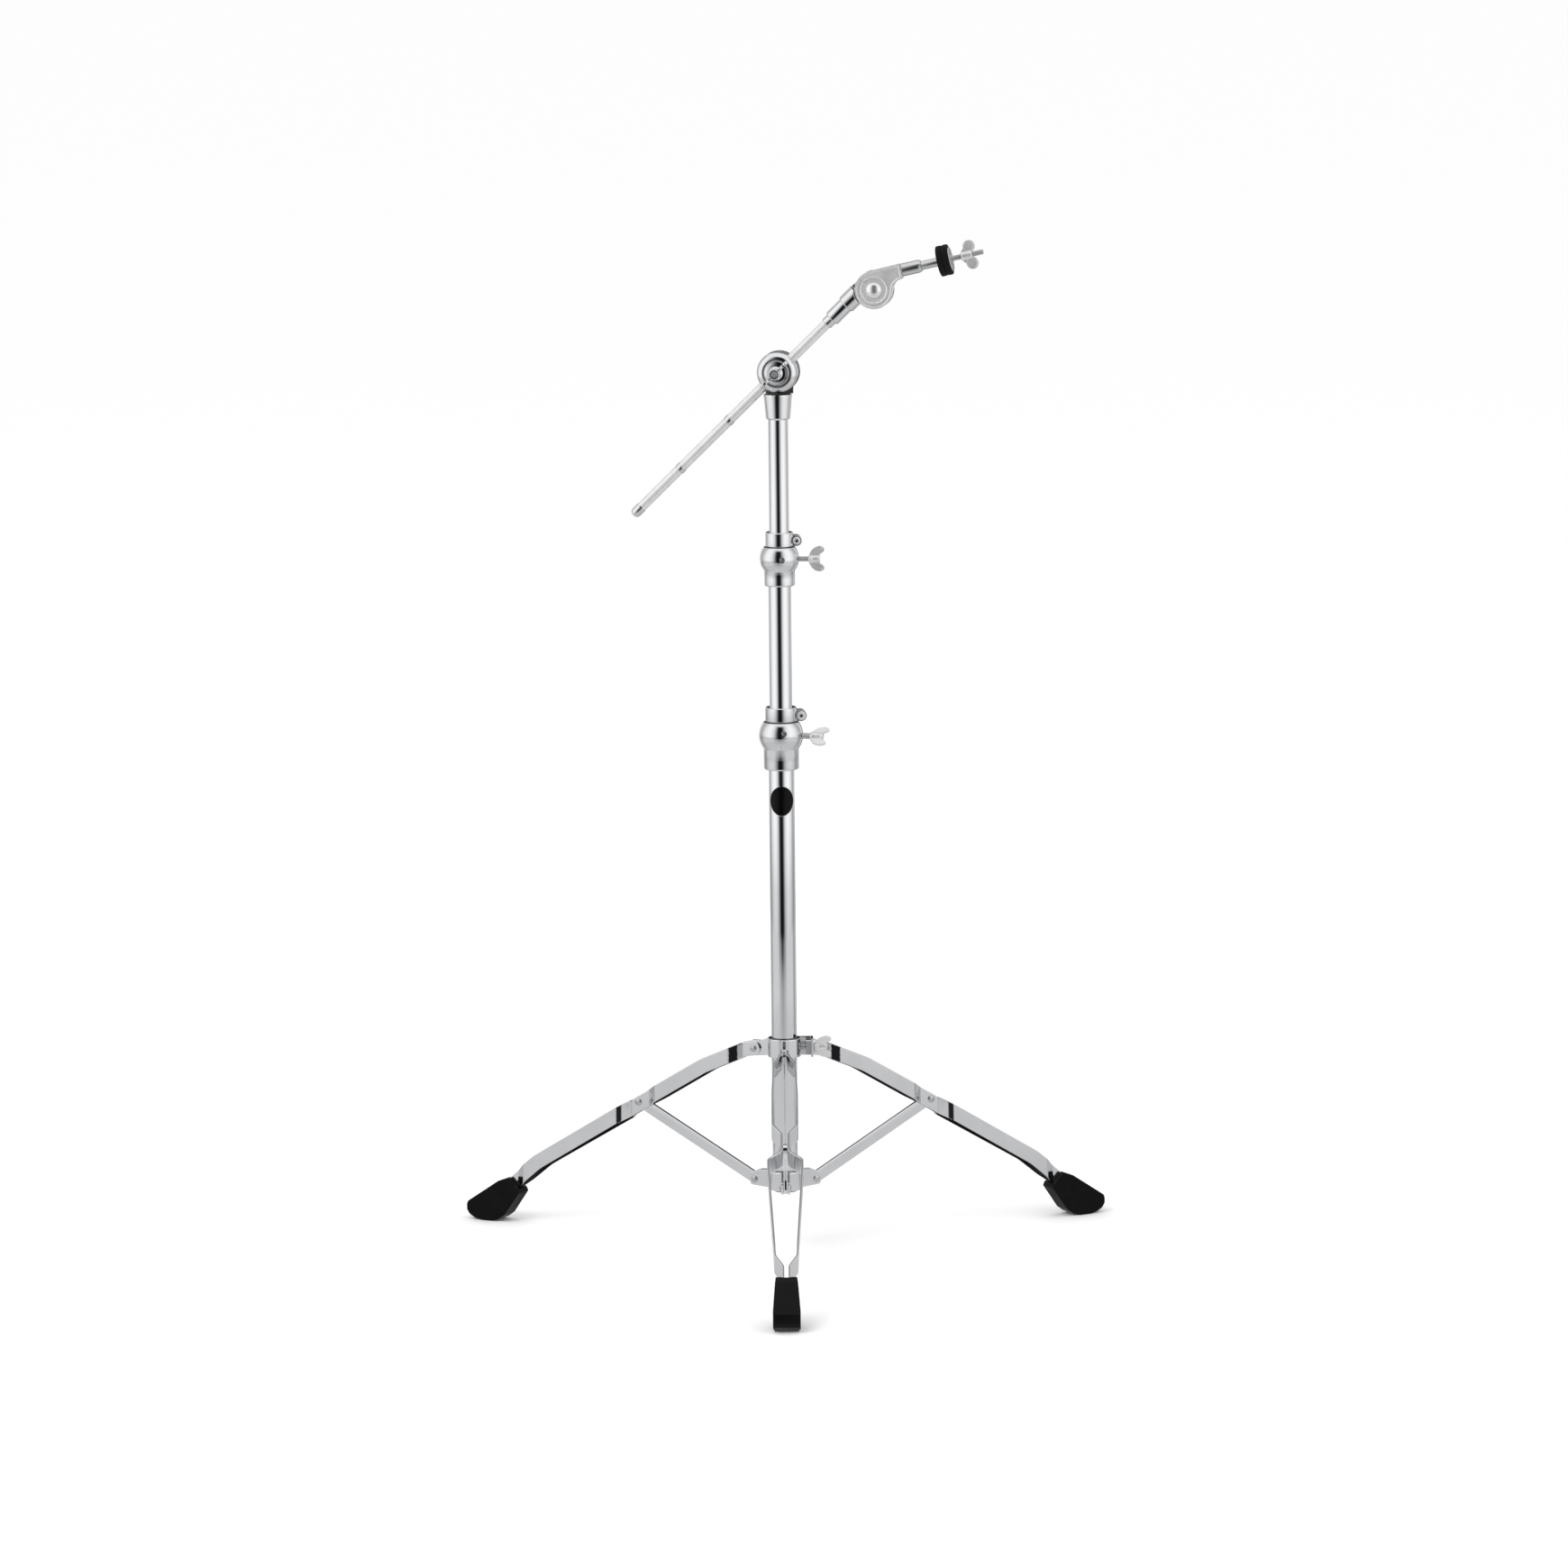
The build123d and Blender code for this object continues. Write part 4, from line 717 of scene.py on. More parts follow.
# ================================================================== legs
LEG_SIDE = [(38.5, 234.0), (50, 232.0), (100, 210.0), (326, 75.8), (368, 41.5)]
LEG_PLAN = [(26, 3.7), (52, 3.7), (68, 11.8), (120, 13.9), (163.5, 13.9), (177, 3.7), (201, 3.7), (213, 19.4), (344, 12.3),
            (355.5, 3.3), (368, 3.3)]
side_path = rounded(LEG_SIDE, [0, 25, 60, 90, 0], n=14)
plan_path = rounded(LEG_PLAN, [0, 4, 6, 60, 5, 5, 5, 5, 6, 6, 0], n=8)


def along(path, r):
    """value and slope of a path that runs one way in r"""
    if r <= path[0][0]:
        (x0, y0), (x1, y1) = path[0], path[1]
    elif r >= path[-1][0]:
        (x0, y0), (x1, y1) = path[-2], path[-1]
    else:
        lo, hi = 0, len(path) - 1
        while hi - lo > 1:
            mid = (lo + hi) // 2
            if path[mid][0] <= r:
                lo = mid
            else:
                hi = mid
        (x0, y0), (x1, y1) = path[lo], path[hi]
    k = (y1 - y0) / max(1e-9, x1 - x0)
    return y0 + k * (r - x0), k


def strip_data(az, side, half_t=1.1, half_h=8.3, corner=0.6):
    pl = in_leg_plane(az)
    # section: thickness a, height b
    sect = []
    hs = [i / 8 for i in range(-7, 8)]
    right = [(half_t, s * (half_h - corner)) for s in [-1] + hs + [1]]
    top = [(half_t - corner + corner * math.cos(math.radians(f)), half_h - corner + corner * math.sin(math.radians(f)))
           for f in (22, 45, 68, 90)]
    quarter = right + top
    left = [(-a, -b) for a, b in quarter]
    sect = quarter + [(-(half_t - corner), half_h)] + [(-a, b) for a, b in top[::-1][1:]] + [(-half_t, s * (half_h - corner))
            for s in [1] + hs[::-1] + [-1]] + [(-a, -b) for a, b in top] + [(half_t - corner, -half_h)] + \
           [(a, -b) for a, b in top[::-1][1:]]
    n = len(sect)
    stations = []
    for k in range(14, 0, -1):
        f = math.radians(90.0 * k / 15)
        stations.append((38.5 - 8.3 * math.sin(f), math.cos(f)))
    r = 38.5
    while r < 368.0:
        stations.append((r, 1.0))
        r += 1.0
    stations.append((368.0, 1.0))
    verts, faces = [], []
    for r, scale in stations:
        z, slope = along(side_path, r)
        if r < 38.5:
            slope = along(side_path, 38.6)[1]
            z = 234.0 + slope * (r - 38.5)
        ln = math.hypot(1.0, slope)
        nr, nz = -slope / ln, 1.0 / ln
        for a, b in sect:
            bb = b * scale if abs(scale - 1) > 1e-9 else b
            rr, zz = r + nr * bb, z + nz * bb
            t, k = along(plan_path, rr)
            lk = math.hypot(1.0, k)
            # square to the plan path, away from the leg plane
            verts.append(pl.at(rr - a * k / lk, zz, side * (t + a / lk)))
    m = len(stations)
    for i in range(m - 1):
        for k in range(n):
            j = (k + 1) % n
            faces.append((i * n + k, i * n + j, (i + 1) * n + j, (i + 1) * n + k))
    faces.append(tuple(range(n))[::-1])
    faces.append(tuple((m - 1) * n + k for k in range(n)))
    return verts, faces


def brace_data(az):
    pl = in_leg_plane(az)
    p0, p1 = Vector((38.0, 82.0)), Vector((192.0, 158.0))
    u = (p1 - p0)
    ln = u.length
    u = u / ln
    v = Vector((-u.y, u.x))
    hh, hw, wall = 6.65, 2.2, 1.2
    verts, faces = [], []
    st = []
    for k in range(12, 0, -1):
        f = math.radians(88.0 * k / 12)
        st.append((-hh * math.sin(f), hh * math.cos(f), 0.0))
    s = 0.0
    while s < ln:
        depth = max(0.0, min(1.0, (s - 13.0) / 4.0, (ln - 13.0 - s) / 4.0))
        st.append((s, hh, depth * depth * (3 - 2 * depth)))
        s += 1.5 if 9 < s < 20 or ln - 20 < s < ln - 9 else 4.0
    st.append((ln, hh, 0.0))
    for k in range(1, 13):
        f = math.radians(88.0 * k / 12)
        st.append((ln + hh * math.sin(f), hh * math.cos(f), 0.0))
    cr = 1.0
    for s, half, open_ in st:
        c = min(cr, half * 0.8)
        sect = [(-hw, -half + 0.2), (-hw, 0.0)]
        sect += [(-hw + c - c * math.cos(math.radians(f)), half - c + c * math.sin(math.radians(f))) for f in (0, 22, 45, 68, 90)]
        sect += [(hw - c + c * math.cos(math.radians(f)), half - c + c * math.sin(math.radians(f))) for f in (90, 68, 45, 22, 0)]
        sect += [(hw, 0.0), (hw, -half + 0.2), (hw - 0.2, -half)]
        top = -half + 0.02 + (2 * half - wall - 0.02) * open_
        iw = (hw - wall) + 0.001
        sect += [(iw + 0.15, -half), (iw, -half + 0.01 + 0.15 * open_), (iw, top), (0.0, top + 0.005), (-iw, top), (-iw, -half + 0.01 + 0.15 * open_),
                 (-iw - 0.15, -half), (-hw + 0.2, -half)]
        n = len(sect)
        for w, b in sect:
            q = p0 + u * s + v * b
            verts.append(pl.at(q.x, q.y, w))
    m = len(st)
    for i in range(m - 1):
        for k in range(n):
            j = (k + 1) % n
            faces.append((i * n + k, i * n + j, (i + 1) * n + j, (i + 1) * n + k))
    faces.append(tuple(range(n))[::-1])
    faces.append(tuple((m - 1) * n + k for k in range(n)))
    return verts, faces


for name, az in AZ.items():
    for side, tag in ((1, "a"), (-1, "b")):
        st = mesh_object(f"{name}_leg_blade_{tag}", *strip_data(az, side), sharp=50)
        cut(st, [bore(Place(in_leg_plane(az).at(192.0, 158.0, 0), in_leg_plane(az).x, in_leg_plane(az).z), 2.52, -9, 9),
                 bore(Place(in_leg_plane(az).at(38.0, 234.0, 0), in_leg_plane(az).x, in_leg_plane(az).z), 2.55, -9, 9)])
        soft(st, 40)
        piece(st, f"{name}_leg", f"{name}_leg_strip_{tag}", "chrome_strip")
        st.data.materials.append(MAT["strip_inner"])
        st.data.materials.append(MAT["strip_edge"])
        pl = in_leg_plane(az)
        for poly in st.data.polygons:
            # painted shade: on the side legs the outward bends and the lower inner edge of the rear plate get a
            # near-black finish
            nr, nu, nt = poly.normal.dot(pl.x), poly.normal.dot(pl.y), poly.normal.dot(pl.z) * side
            c = poly.center / MM - pl.o
            r = c.dot(pl.x)
            rear = pl.z.y * side > 0
            low = c.dot(pl.y) - along(side_path, max(r, 38.6))[0] < -3.6
            opening = nt > 0.5 and nr < -0.30 and (57.5 < r < 66.5 or 208.5 < r < 213.0)
            if name != "front" and ((rear and low and nt < -0.6) or (opening and not rear)):
                poly.material_index = 1
            # the thin edge faces take the darker edge finish: a duller cut edge, partly painted shade
            elif abs(nt) < 0.35 and r > 40:
                poly.material_index = 2
    riv = mesh_object(f"{name}_leg_centre_rivet", *rivet_data(az, 192.0, 158.0, 4.8, head_r=4.3), sharp=35)
    piece(riv, f"{name}_leg", f"{name}_leg_rivet", "chrome_strip", "screw_steel")
    br = mesh_object(f"{name}_brace_channel", *brace_data(az), sharp=40)
    piece(br, f"{name}_brace_link", f"{name}_brace", "chrome_strip")
    br.data.materials.append(MAT["strip_edge"])
    # painted shade: the upward-facing top faces of the channel take the darker edge finish, a painted dark line along
    # the top
    up = (Vector((154.0, 76.0)).normalized())
    for poly in br.data.polygons:
        pl = in_leg_plane(az)
        if poly.normal.dot(pl.x) * -up.y + poly.normal.dot(pl.y) * up.x > 0.6:
            poly.material_index = 1
    foot = copy_of(f"{name}_foot_rubber", f"{name}_foot")
    fused(foot, 0.55, 10)
    piece(foot, f"{name}_leg", f"{name}_foot", "rubber")

# ================================================================== brackets, pressed from sheet
for new, old, body, vox, it in (("brace_bracket_pressing", "brace_bracket", "base", 0.4, 5),
                                ("leg_bracket_pressing", "leg_bracket", "leg_slider", 0.4, 5)):
    ob = copy_of(new, old)
    fused(ob, vox, it)
    piece(ob, body, old, "chrome_strip")
    ob.data.materials.append(MAT["strip_inner"])
    ob.data.materials.append(MAT["strip_edge"])
    # painted shade: faces turned in towards the column take the near-black finish; top and bottom faces take the darker
    # edge finish, partly painted shade
    for poly in ob.data.polygons:
        c = poly.center / MM - Vector((0, CY, 0))
        out = Vector((c.x, c.y, 0)).normalized()
        if poly.normal.dot(out) < -0.55:
            poly.material_index = 1
        elif poly.normal.z > 0.8 or poly.normal.z < -0.8:
            poly.material_index = 2


# ================================================================== wing screws: cast head on a threaded stud
def wing_screw(name, body, node_name, az, z, r_tip, r_hub, shaft_r, hub_r, hub_len, turn, wing_r, wing_top, t):
    pl = outward(az, z)
    spun = pl.turned(turn)
    hub = [(0, r_hub), (hub_r - 1.0, r_hub), (hub_r, r_hub + 3.0), (hub_r - 0.5, r_hub + 5.0), (hub_r - 0.5, r_hub + hub_len - 2.6),
           (hub_r, r_hub + hub_len - 1.2), (hub_r - 0.8, r_hub + hub_len), (hub_r - 2.2, r_hub + hub_len),
           (hub_r - 2.6, r_hub + hub_len - 0.7), (0, r_hub + hub_len - 0.7)]
    data = joined([lathe_data(pl, rounded(hub, 0.4, n=3), 56), wing_data(spun, hub_r, wing_r, r_hub + 0.4, r_hub + wing_top, t - 0.5, rim=t / 2)])
    head = cast(name + "_head", *data, voxel=0.25, smooth=6)
    piece(head, body, node_name, "chrome_cast", "wing_cast")
    stud = mesh_object(name + "_stud", *thread_data(Place(pl.o, pl.x, -pl.z), shaft_r, -(r_hub + 3.5), -r_tip, pitch=1.25,
                                                     depth=0.5, segs=40, per=6), sharp=60)
    piece(stud, body, node_name, "chrome_cast", "screw_steel")


wing_screw("lower_wing_screw", "lower_screw", "lower_wing_screw", -15.0, 597.5, 14.6, 34.0, 3.4, 5.0, 15.2, -56, 14.6, 20.4, 3.2)
wing_screw("upper_wing_screw", "upper_screw", "upper_wing_screw", 0.0, 798.5, 13.0, 32.6, 3.0, 4.6, 13.4, 0, 14.5, 18.4, 3.2)
wing_screw("leg_wing_screw", "leg_screw", "leg_wing_screw", 0.0, 238.4, 14.6, 34.2, 3.9, 5.0, 14.6, 24, 14.2, 19.6, 3.2)


# ================================================================== badge: enamel oval in a thin bright rim
def badge_piece():
    rings = []
    n = 72
    # (scale of the oval, height above the tube)
    prof = [(1.0, 0.0), (1.0, 0.28), (0.985, 0.42), (0.955, 0.5), (0.915, 0.5), (0.9, 0.44), (0.895, 0.34), (0.8, 0.345), (0.6, 0.35),
            (0.4, 0.35), (0.2, 0.35)]
    verts, faces = [], []

    def put(s, f, up):
        x, zz = 13.2 * s * math.cos(f), 17.3 * s * math.sin(f)
        r = 14.3 + up
        y = -math.sqrt(max(0.0, r * r - x * x)) if abs(x) < r else 0.0
        return Vector((x, CY + y, 524 + zz))

    for s, up in prof:
        rings.append([len(verts) + k for k in range(n)])
        verts += [put(s, 2 * math.pi * k / n, up + 0.02) for k in range(n)]
    verts.append(put(0, 0, 0.37))
    mid = len(verts) - 1
    for a, b in zip(rings, rings[1:]):
        for k in range(n):
            faces.append((a[k], a[(k + 1) % n], b[(k + 1) % n], b[k]))
    for k in range(n):
        faces.append((rings[-1][k], rings[-1][(k + 1) % n], mid))
    # underside against the tube
    under = []
    for s in (0.8, 0.4):
        under.append([len(verts) + k for k in range(n)])
        verts.extend(put(s, 2 * math.pi * k / n, 0.02) for k in range(n))
    verts.append(put(0, 0, 0.02))
    low = len(verts) - 1
    for a, b in zip([rings[0]] + under, under):
        for k in range(n):
            faces.append((a[(k + 1) % n], a[k], b[k], b[(k + 1) % n]))
    for k in range(n):
        faces.append((under[-1][(k + 1) % n], under[-1][k], low))
    ob = mesh_object("badge_plate", verts, faces, sharp=35)
    piece(ob, "base", "badge", "badge")
    ob.data.materials.append(MAT["chrome_cast"])
    for poly in ob.data.polygons:
        c = poly.center / MM
        s = math.hypot(c.x / 13.2, (c.z - 524) / 17.3)
        poly.material_index = 1 if s > 0.982 else 0
    return ob


badge_piece()

# ================================================================== boom head
cap_prof = [(4.05, 7.3), (9.6, 7.3), (9.6, 0.5), (22.55, 0.5), (23.25, 1.2)] + \
    [(15.0 + 8.25 * math.cos(math.radians(a)), 2.2 + 8.7 * math.sin(math.radians(a))) for a in range(1, 86, 2)] + \
    rounded([(15.7, 10.88), (14.75, 10.8), (14.3, 10.4), (14.2, 9.7), (4.05, 9.7), (4.05, 8.5)], 0.3, n=4)[1:]
boom_cap = mesh_object("boom_cap_shell", *lathe_data(drum, cap_prof, 144), sharp=35)
groove = mesh_object("groove", *lathe_data(boom_axis, [(0, -40), (6.2, -40), (6.2, 40), (0, 40)], 72))
cut(boom_cap, [groove])
soft(boom_cap, 30)
piece(boom_cap, "boom_holder", "boom_cap", "chrome_cast", "chrome_ball")

rotor_prof = rounded([(9.6, -8.0), (22.45, -8.0), (23.25, -7.2), (23.25, -1.2), (22.55, -0.5), (9.6, -0.5)], 0.35, closed=True, n=4)
boom_rotor = mesh_object("boom_rotor_disc", *lathe_data(drum, rotor_prof, 144), sharp=35)
groove = mesh_object("groove", *lathe_data(boom_axis, [(0, -40), (6.2, -40), (6.2, 40), (0, 40)], 72))
cut(boom_rotor, [groove])
soft(boom_rotor, 30)
piece(boom_rotor, "boom_holder", "boom_rotor", "chrome_cast", "chrome_ball")

washer = lathe("boom_washer_dished", drum, [(4.05, 9.75), (13.4, 9.75), (13.9, 10.1), (13.9, 10.6), (13.4, 11.0), (12.6, 11.15), (10.6, 11.7),
                                            (8.8, 12.0), (7.0, 12.2), (4.05, 12.2)], 144, 0.3, n=5)
piece(washer, "boom_holder", "boom_washer", "chrome_cast", "chrome_ball")


def wing_nut(name, body, node_name, pl, hub, wings, voxel=0.28, smooth=6, bore_r=4.05, slot_name="chrome_cast", look=None, z=(0, 40)):
    data = joined([lathe_data(pl, rounded(hub, 0.45, closed=True, n=3), 64), wing_data(pl, *wings[:5], rim=wings[5])])
    ob = cast(name, *data, voxel=voxel, smooth=smooth)
    cut(ob, [bore(pl, bore_r, z[0], z[1], 56)])
    soft(ob, 45)
    piece(ob, body, node_name, slot_name, look)
    return ob


nut_place = Place(drum_c, b_dir, n_dir)
wing_nut("boom_wing_nut_cast", "boom_nut", "boom_wing_nut", nut_place,
         [(3.0, 12.25), (7.6, 12.25), (8.0, 12.8), (7.6, 14.0), (6.0, 15.6), (6.0, 27.0), (5.4, 27.6), (3.0, 27.6)],
         (6.0, 21.6, 13.2, 29.3, 3.4, 2.15), z=(5, 45))

# ================================================================== boom rod with a real diamond knurl
def boom_rod_piece():
    segs = 96
    count = 24          # diamonds round the rod
    step = 0.38
    pitch = 1.48
    tip = -233.0
    rows = []
    head = rounded([(0, tip), (2.6, tip), (4.6, tip + 1.2), (5.7, tip + 3.6), (6.0, tip + 7.0), (6.0, tip + 13.0), (5.65, tip + 14.0)], 1.0, n=5)
    for r, s in head[1:]:
        rows.append((s, r, 0.0))
    s = tip + 14.4
    while s < 78.0:
        smooth_here = False
        for c in (-156.0, -77.8):
            if abs(s - c) < 3.4:
                smooth_here = True
        rows.append((s, 5.65, 0.0 if smooth_here else 1.0))
        s += step
    rows = [x for x in rows if not any(abs(x[0] - c) < 3.4 for c in (-156.0, -77.8))]
    for c in (-156.0, -77.8):
        for s, r in rounded([(c - 3.3, 5.62), (c - 2.9, 5.62), (c - 2.4, 6.1), (c + 2.4, 6.1), (c + 2.9, 5.62), (c + 3.3, 5.62)], 0.3, n=3):
            rows.append((s, r, 0.0))
    rows.sort(key=lambda x: x[0])
    rows += [(78.2, 5.5, 0.0), (109.4, 5.5, 0.0)]
    verts, faces = [boom_axis.at(0, 0, tip)], []
    depth = 0.20
    for s, r, k in rows:
        f = k * min(1.0, max(0.0, (s - (tip + 14.4)) / 1.0), max(0.0, (78.0 - s) / 1.0))
        for i in range(segs):
            a = 2 * math.pi * i / segs
            u, v = count * a / (2 * math.pi), s / pitch
            t1, t2 = abs(2 * ((u + v) % 1.0) - 1.0), abs(2 * ((u - v) % 1.0) - 1.0)
            hgt = min(min(t1, t2) * 1.7, 1.0)
            rr = r - depth * f * (1.0 - hgt)
            verts.append(boom_axis.at(rr * math.cos(a), rr * math.sin(a), s))
    n = len(rows)
    for i in range(segs):
        faces.append((0, 1 + (i + 1) % segs, 1 + i))
    for j in range(n - 1):
        for i in range(segs):
            i2 = (i + 1) % segs
            faces.append((1 + j * segs + i, 1 + j * segs + i2, 1 + (j + 1) * segs + i2, 1 + (j + 1) * segs + i))
    verts.append(boom_axis.at(0, 0, 109.4))
    e = len(verts) - 1
    for i in range(segs):
        faces.append((e, 1 + (n - 1) * segs + i, 1 + (n - 1) * segs + (i + 1) % segs))
    ob = mesh_object("boom_rod_knurled", verts, faces, sharp=60)
    piece(ob, "boom", "boom_rod", "knurled")
    ob.data.materials.append(MAT["chrome_cast"])
    lo = [(-156.0 - 3.2, -156.0 + 3.2), (-77.8 - 3.2, -77.8 + 3.2), (-240.0, -218.8)]
    for poly in ob.data.polygons:
        s = (poly.center / MM - drum_c).dot(b_dir)
        if any(a < s < b for a, b in lo):
            poly.material_index = 1
    return ob


boom_rod_piece()
ferrule = lathe("boom_ferrule_turned", boom_axis, [(5.5, 78.6), (6.3, 78.6), (6.8, 79.2), (6.8, 87.05), (8.2, 87.05), (9.0, 87.9),
                                                   (9.0, 109.4), (5.5, 109.4)], 96, 0.35, n=4)
piece(ferrule, "boom", "boom_ferrule", "chrome_cast", "chrome_tube")

# ================================================================== tilter
yoke = copy_of("tilter_yoke_cast", "tilter_yoke")
fused(yoke, 0.3, 6)
piece(yoke, "tilter_base", "tilter_yoke", "cast_satin", "chrome_cast")
head = copy_of("tilter_head_cast", "tilter_head")
fused(head, 0.3, 5)
piece(head, "tilter_arm", "tilter_head", "cast_satin")
head.data.materials.append(MAT["machined"])
for poly in head.data.polygons:
    c = poly.center / MM - tilt_c
    w, x, y = c.dot(m_dir), c.dot(d_dir), c.dot(q_dir)
    if w > 2.5 and math.hypot(x, y) < 15.4 and abs((poly.normal).dot(m_dir)) > 0.3 and w < 5.6:
        poly.material_index = 1

dome = [(9.2 * math.cos(math.radians(a)), 4.3 + 5.4 * math.sin(math.radians(a))) for a in range(0, 90, 4)]
bolt_prof = [(0, -22.0), (3.4, -22.0), (4.0, -21.3), (4.0, 4.2), (9.1, 4.2)] + dome + [(0, 9.7)]
bolt = mesh_object("tilter_bolt_domed", *lathe_data(tilt, bolt_prof, 96), sharp=40)
piece(bolt, "tilter_base", "tilter_bolt", "chrome_cast", "turned_soft")
back = Place(tilt_c, -q_dir, -m_dir).turned(20)
wing_nut("tilter_wing_nut_cast", "tilter_nut", "tilter_wing_nut", back,
         [(3.0, 10.6), (8.4, 10.6), (8.8, 11.2), (8.0, 12.8), (6.0, 14.4), (6.0, 23.4), (5.4, 24.0), (3.0, 24.0)],
         (5.8, 18.9, 12.2, 26.9, 3.2, 1.95), z=(5, 45))

# ================================================================== cymbal post
pb = lathe("post_base_turned", post, [(3.0, 20.0), (4.6, 20.0), (4.6, 35.45), (6.4, 35.45), (7.2, 36.2), (7.2, 55.1), (6.4, 58.3), (3.0, 58.3)],
           96, 0.6, n=5)
piece(pb, "tilter_arm", "post_base", "chrome_cast", "turned_steel")
ps = lathe("post_sleeve_turned", post, [(3.0, 58.35), (4.9, 58.35), (4.9, 92.8), (4.5, 93.3), (3.0, 93.3)], 80, 0.25)
piece(ps, "tilter_arm", "post_sleeve", "chrome_cast", "turned_steel")
rod = mesh_object("post_rod_threaded", *thread_data(post, 3.0, 95.0, 129.8, pitch=1.0, depth=0.42, segs=44, per=7, fade0=1.0, start=22.0), sharp=60)
piece(rod, "tilter_arm", "post_rod", "screw_steel")
def cymbal_nut_piece():
    """A small cast nut: a slim hub with two full round lobes on short webs."""
    pl = Place(post_c, q_dir, d_dir)
    flat = Place(pl.o, pl.x, -pl.y)
    hub = [(2.0, 104.5), (4.9, 104.5), (5.4, 105.2), (4.9, 106.9), (4.8, 116.5), (4.1, 117.3), (2.0, 117.3)]
    parts = [lathe_data(pl, rounded(hub, 0.5, closed=True, n=3), 64)]
    for side in (1, -1):
        web = [(1.5, 105.1), (5.6, 105.5), (9.4, 109.0), (9.8, 115.4), (6.2, 120.6), (1.5, 116.1)]
        parts.append(prism_data(flat, rounded([(x * side, z) for x, z in web], [0, 2.0, 1.5, 0, 1.5, 0], closed=True, n=5), -1.0, 1.0))
        lobe = [(0, -1.15), (4.8, -1.15), (5.6, -1.4), (6.4, -1.35), (6.85, -0.8), (6.85, 0.8), (6.4, 1.35), (5.6, 1.4), (4.8, 1.15), (0, 1.15)]
        parts.append(lathe_data(Place(flat.at(9.8 * side, 115.4, 0), flat.x, flat.z), rounded(lobe, 0.5, n=3), 56))
    ob = cast("cymbal_wing_nut_cast", *joined(parts), voxel=0.2, smooth=5)
    cut(ob, [bore(pl, 3.05, 90, 150, 56)])
    soft(ob, 45)
    piece(ob, "cymbal_nut", "cymbal_wing_nut", "chrome_cast", "wing_cast")


cymbal_nut_piece()
fw = lathe("felt_washer_turned", post, [(5.05, 91.92), (13.8, 91.92), (14.2, 92.4), (13.8, 93.0), (5.05, 93.0)], 96, 0.2)
piece(fw, "felt_stack", "felt_washer", "screw_steel")


def felt_piece(name, node_name, body, x0, x1, seed):
    """A punched felt disc: soft rim, slightly cushioned faces and matted fibre relief."""
    R, hole, c = 17.5, 5.05, 1.5
    t = x1 - x0
    prof = [(hole, x0 + 0.35), (hole + 0.35, x0 + 0.02)]
    k = 22
    for i in range(k + 1):
        r = hole + 0.8 + (R - c - hole - 0.8) * i / k
        prof.append((r, x0 + 0.12 * (r / R) ** 6))
    prof += [(R - c + c * math.sin(math.radians(a)), x0 + c - c * math.cos(math.radians(a)) + 0.05) for a in (15, 30, 45, 60, 75)]
    for i in range(7):
        f = i / 6
        prof.append((R - 0.14 * (2 * f - 1) ** 2 - 0.04, x0 + c + (t - 2 * c) * f))
    prof += [(R - c + c * math.cos(math.radians(a)), x1 - c + c * math.sin(math.radians(a)) - 0.05) for a in (15, 30, 45, 60, 75)]
    for i in range(k + 1):
        r = R - c - (R - c - hole - 0.8) * i / k
        prof.append((r, x1 - 0.12 * (r / R) ** 6))
    prof += [(hole + 0.35, x1 - 0.02), (hole, x1 - 0.35)]
    for i in range(1, 8):
        prof.append((hole, x1 - 0.35 - (t - 0.7) * i / 8))
    ob = mesh_object(name, *lathe_data(post, prof, 150), sharp=180)
    me = ob.data
    normals = [v.normal.copy() for v in me.vertices]
    for v, nrm in zip(me.vertices, normals):
        p = v.co / MM
        f = noise.noise(p * 0.55 + Vector((seed, 0, 0))) * 0.10 + noise.noise(p * 1.9 + Vector((seed, 3, 0))) * 0.10
        v.co = v.co - nrm * (0.10 + f) * MM
    me.update()
    piece(ob, body, node_name, "felt")
    return ob


felt_piece("lower_felt_disc", "lower_felt", "tilter_arm", 78.3, 85.05, 0.0)
felt_piece("upper_felt_disc", "upper_felt", "felt_stack", 85.15, 91.9, 11.0)

# ================================================================== what is left of the CAD nodes gets its finish
for name, ob in NODES.items():
    look = SLOT_OF[name]
    if look in MAT:
        ob.data.materials.clear()
        ob.data.materials.append(MAT[look])
for name in ("boom_socket", "leg_lock_nut"):
    ob = NODES[name]
    bv = ob.modifiers.new("edges", "BEVEL")
    bv.limit_method = "ANGLE"
    bv.angle_limit = math.radians(40)
    bv.width = 0.25 * MM
    bv.segments = 2
    bv.harden_normals = True

for name, look in (("boom_socket", "chrome_ball"), ("boom_eyebolt", "turned_soft")):
    ob = NODES[name]
    ob.data.materials.clear()
    ob.data.materials.append(MAT[look])

# ================================================================== studio
scene = bpy.context.scene
floor_me = bpy.data.meshes.new("studio_floor")
bm = bmesh.new()
bmesh.ops.create_grid(bm, x_segments=24, y_segments=24, size=90.0)
bm.to_mesh(floor_me)
bm.free()
floor = bpy.data.objects.new("studio_floor", floor_me)
scene.collection.objects.link(floor)
fm, nt, bsdf = new_material("studio_paper")
bsdf.inputs["Roughness"].default_value = 0.9
bsdf.inputs["Specular IOR Level"].default_value = 0.0
bsdf.inputs["Base Color"].default_value = (0.985, 0.985, 0.985, 1)
floor.data.materials.append(fm)

# a light tent that only polished surfaces see: white walls with a dark opening in front
TENT_R = 2.46


def ramp_of(stops, x):
    for (x0, y0), (x1, y1) in zip(stops, stops[1:]):
        if x <= x1:
            f = (x - x0) / (x1 - x0)
            return y0 + (y1 - y0) * max(0.0, f)
    return stops[-1][1]


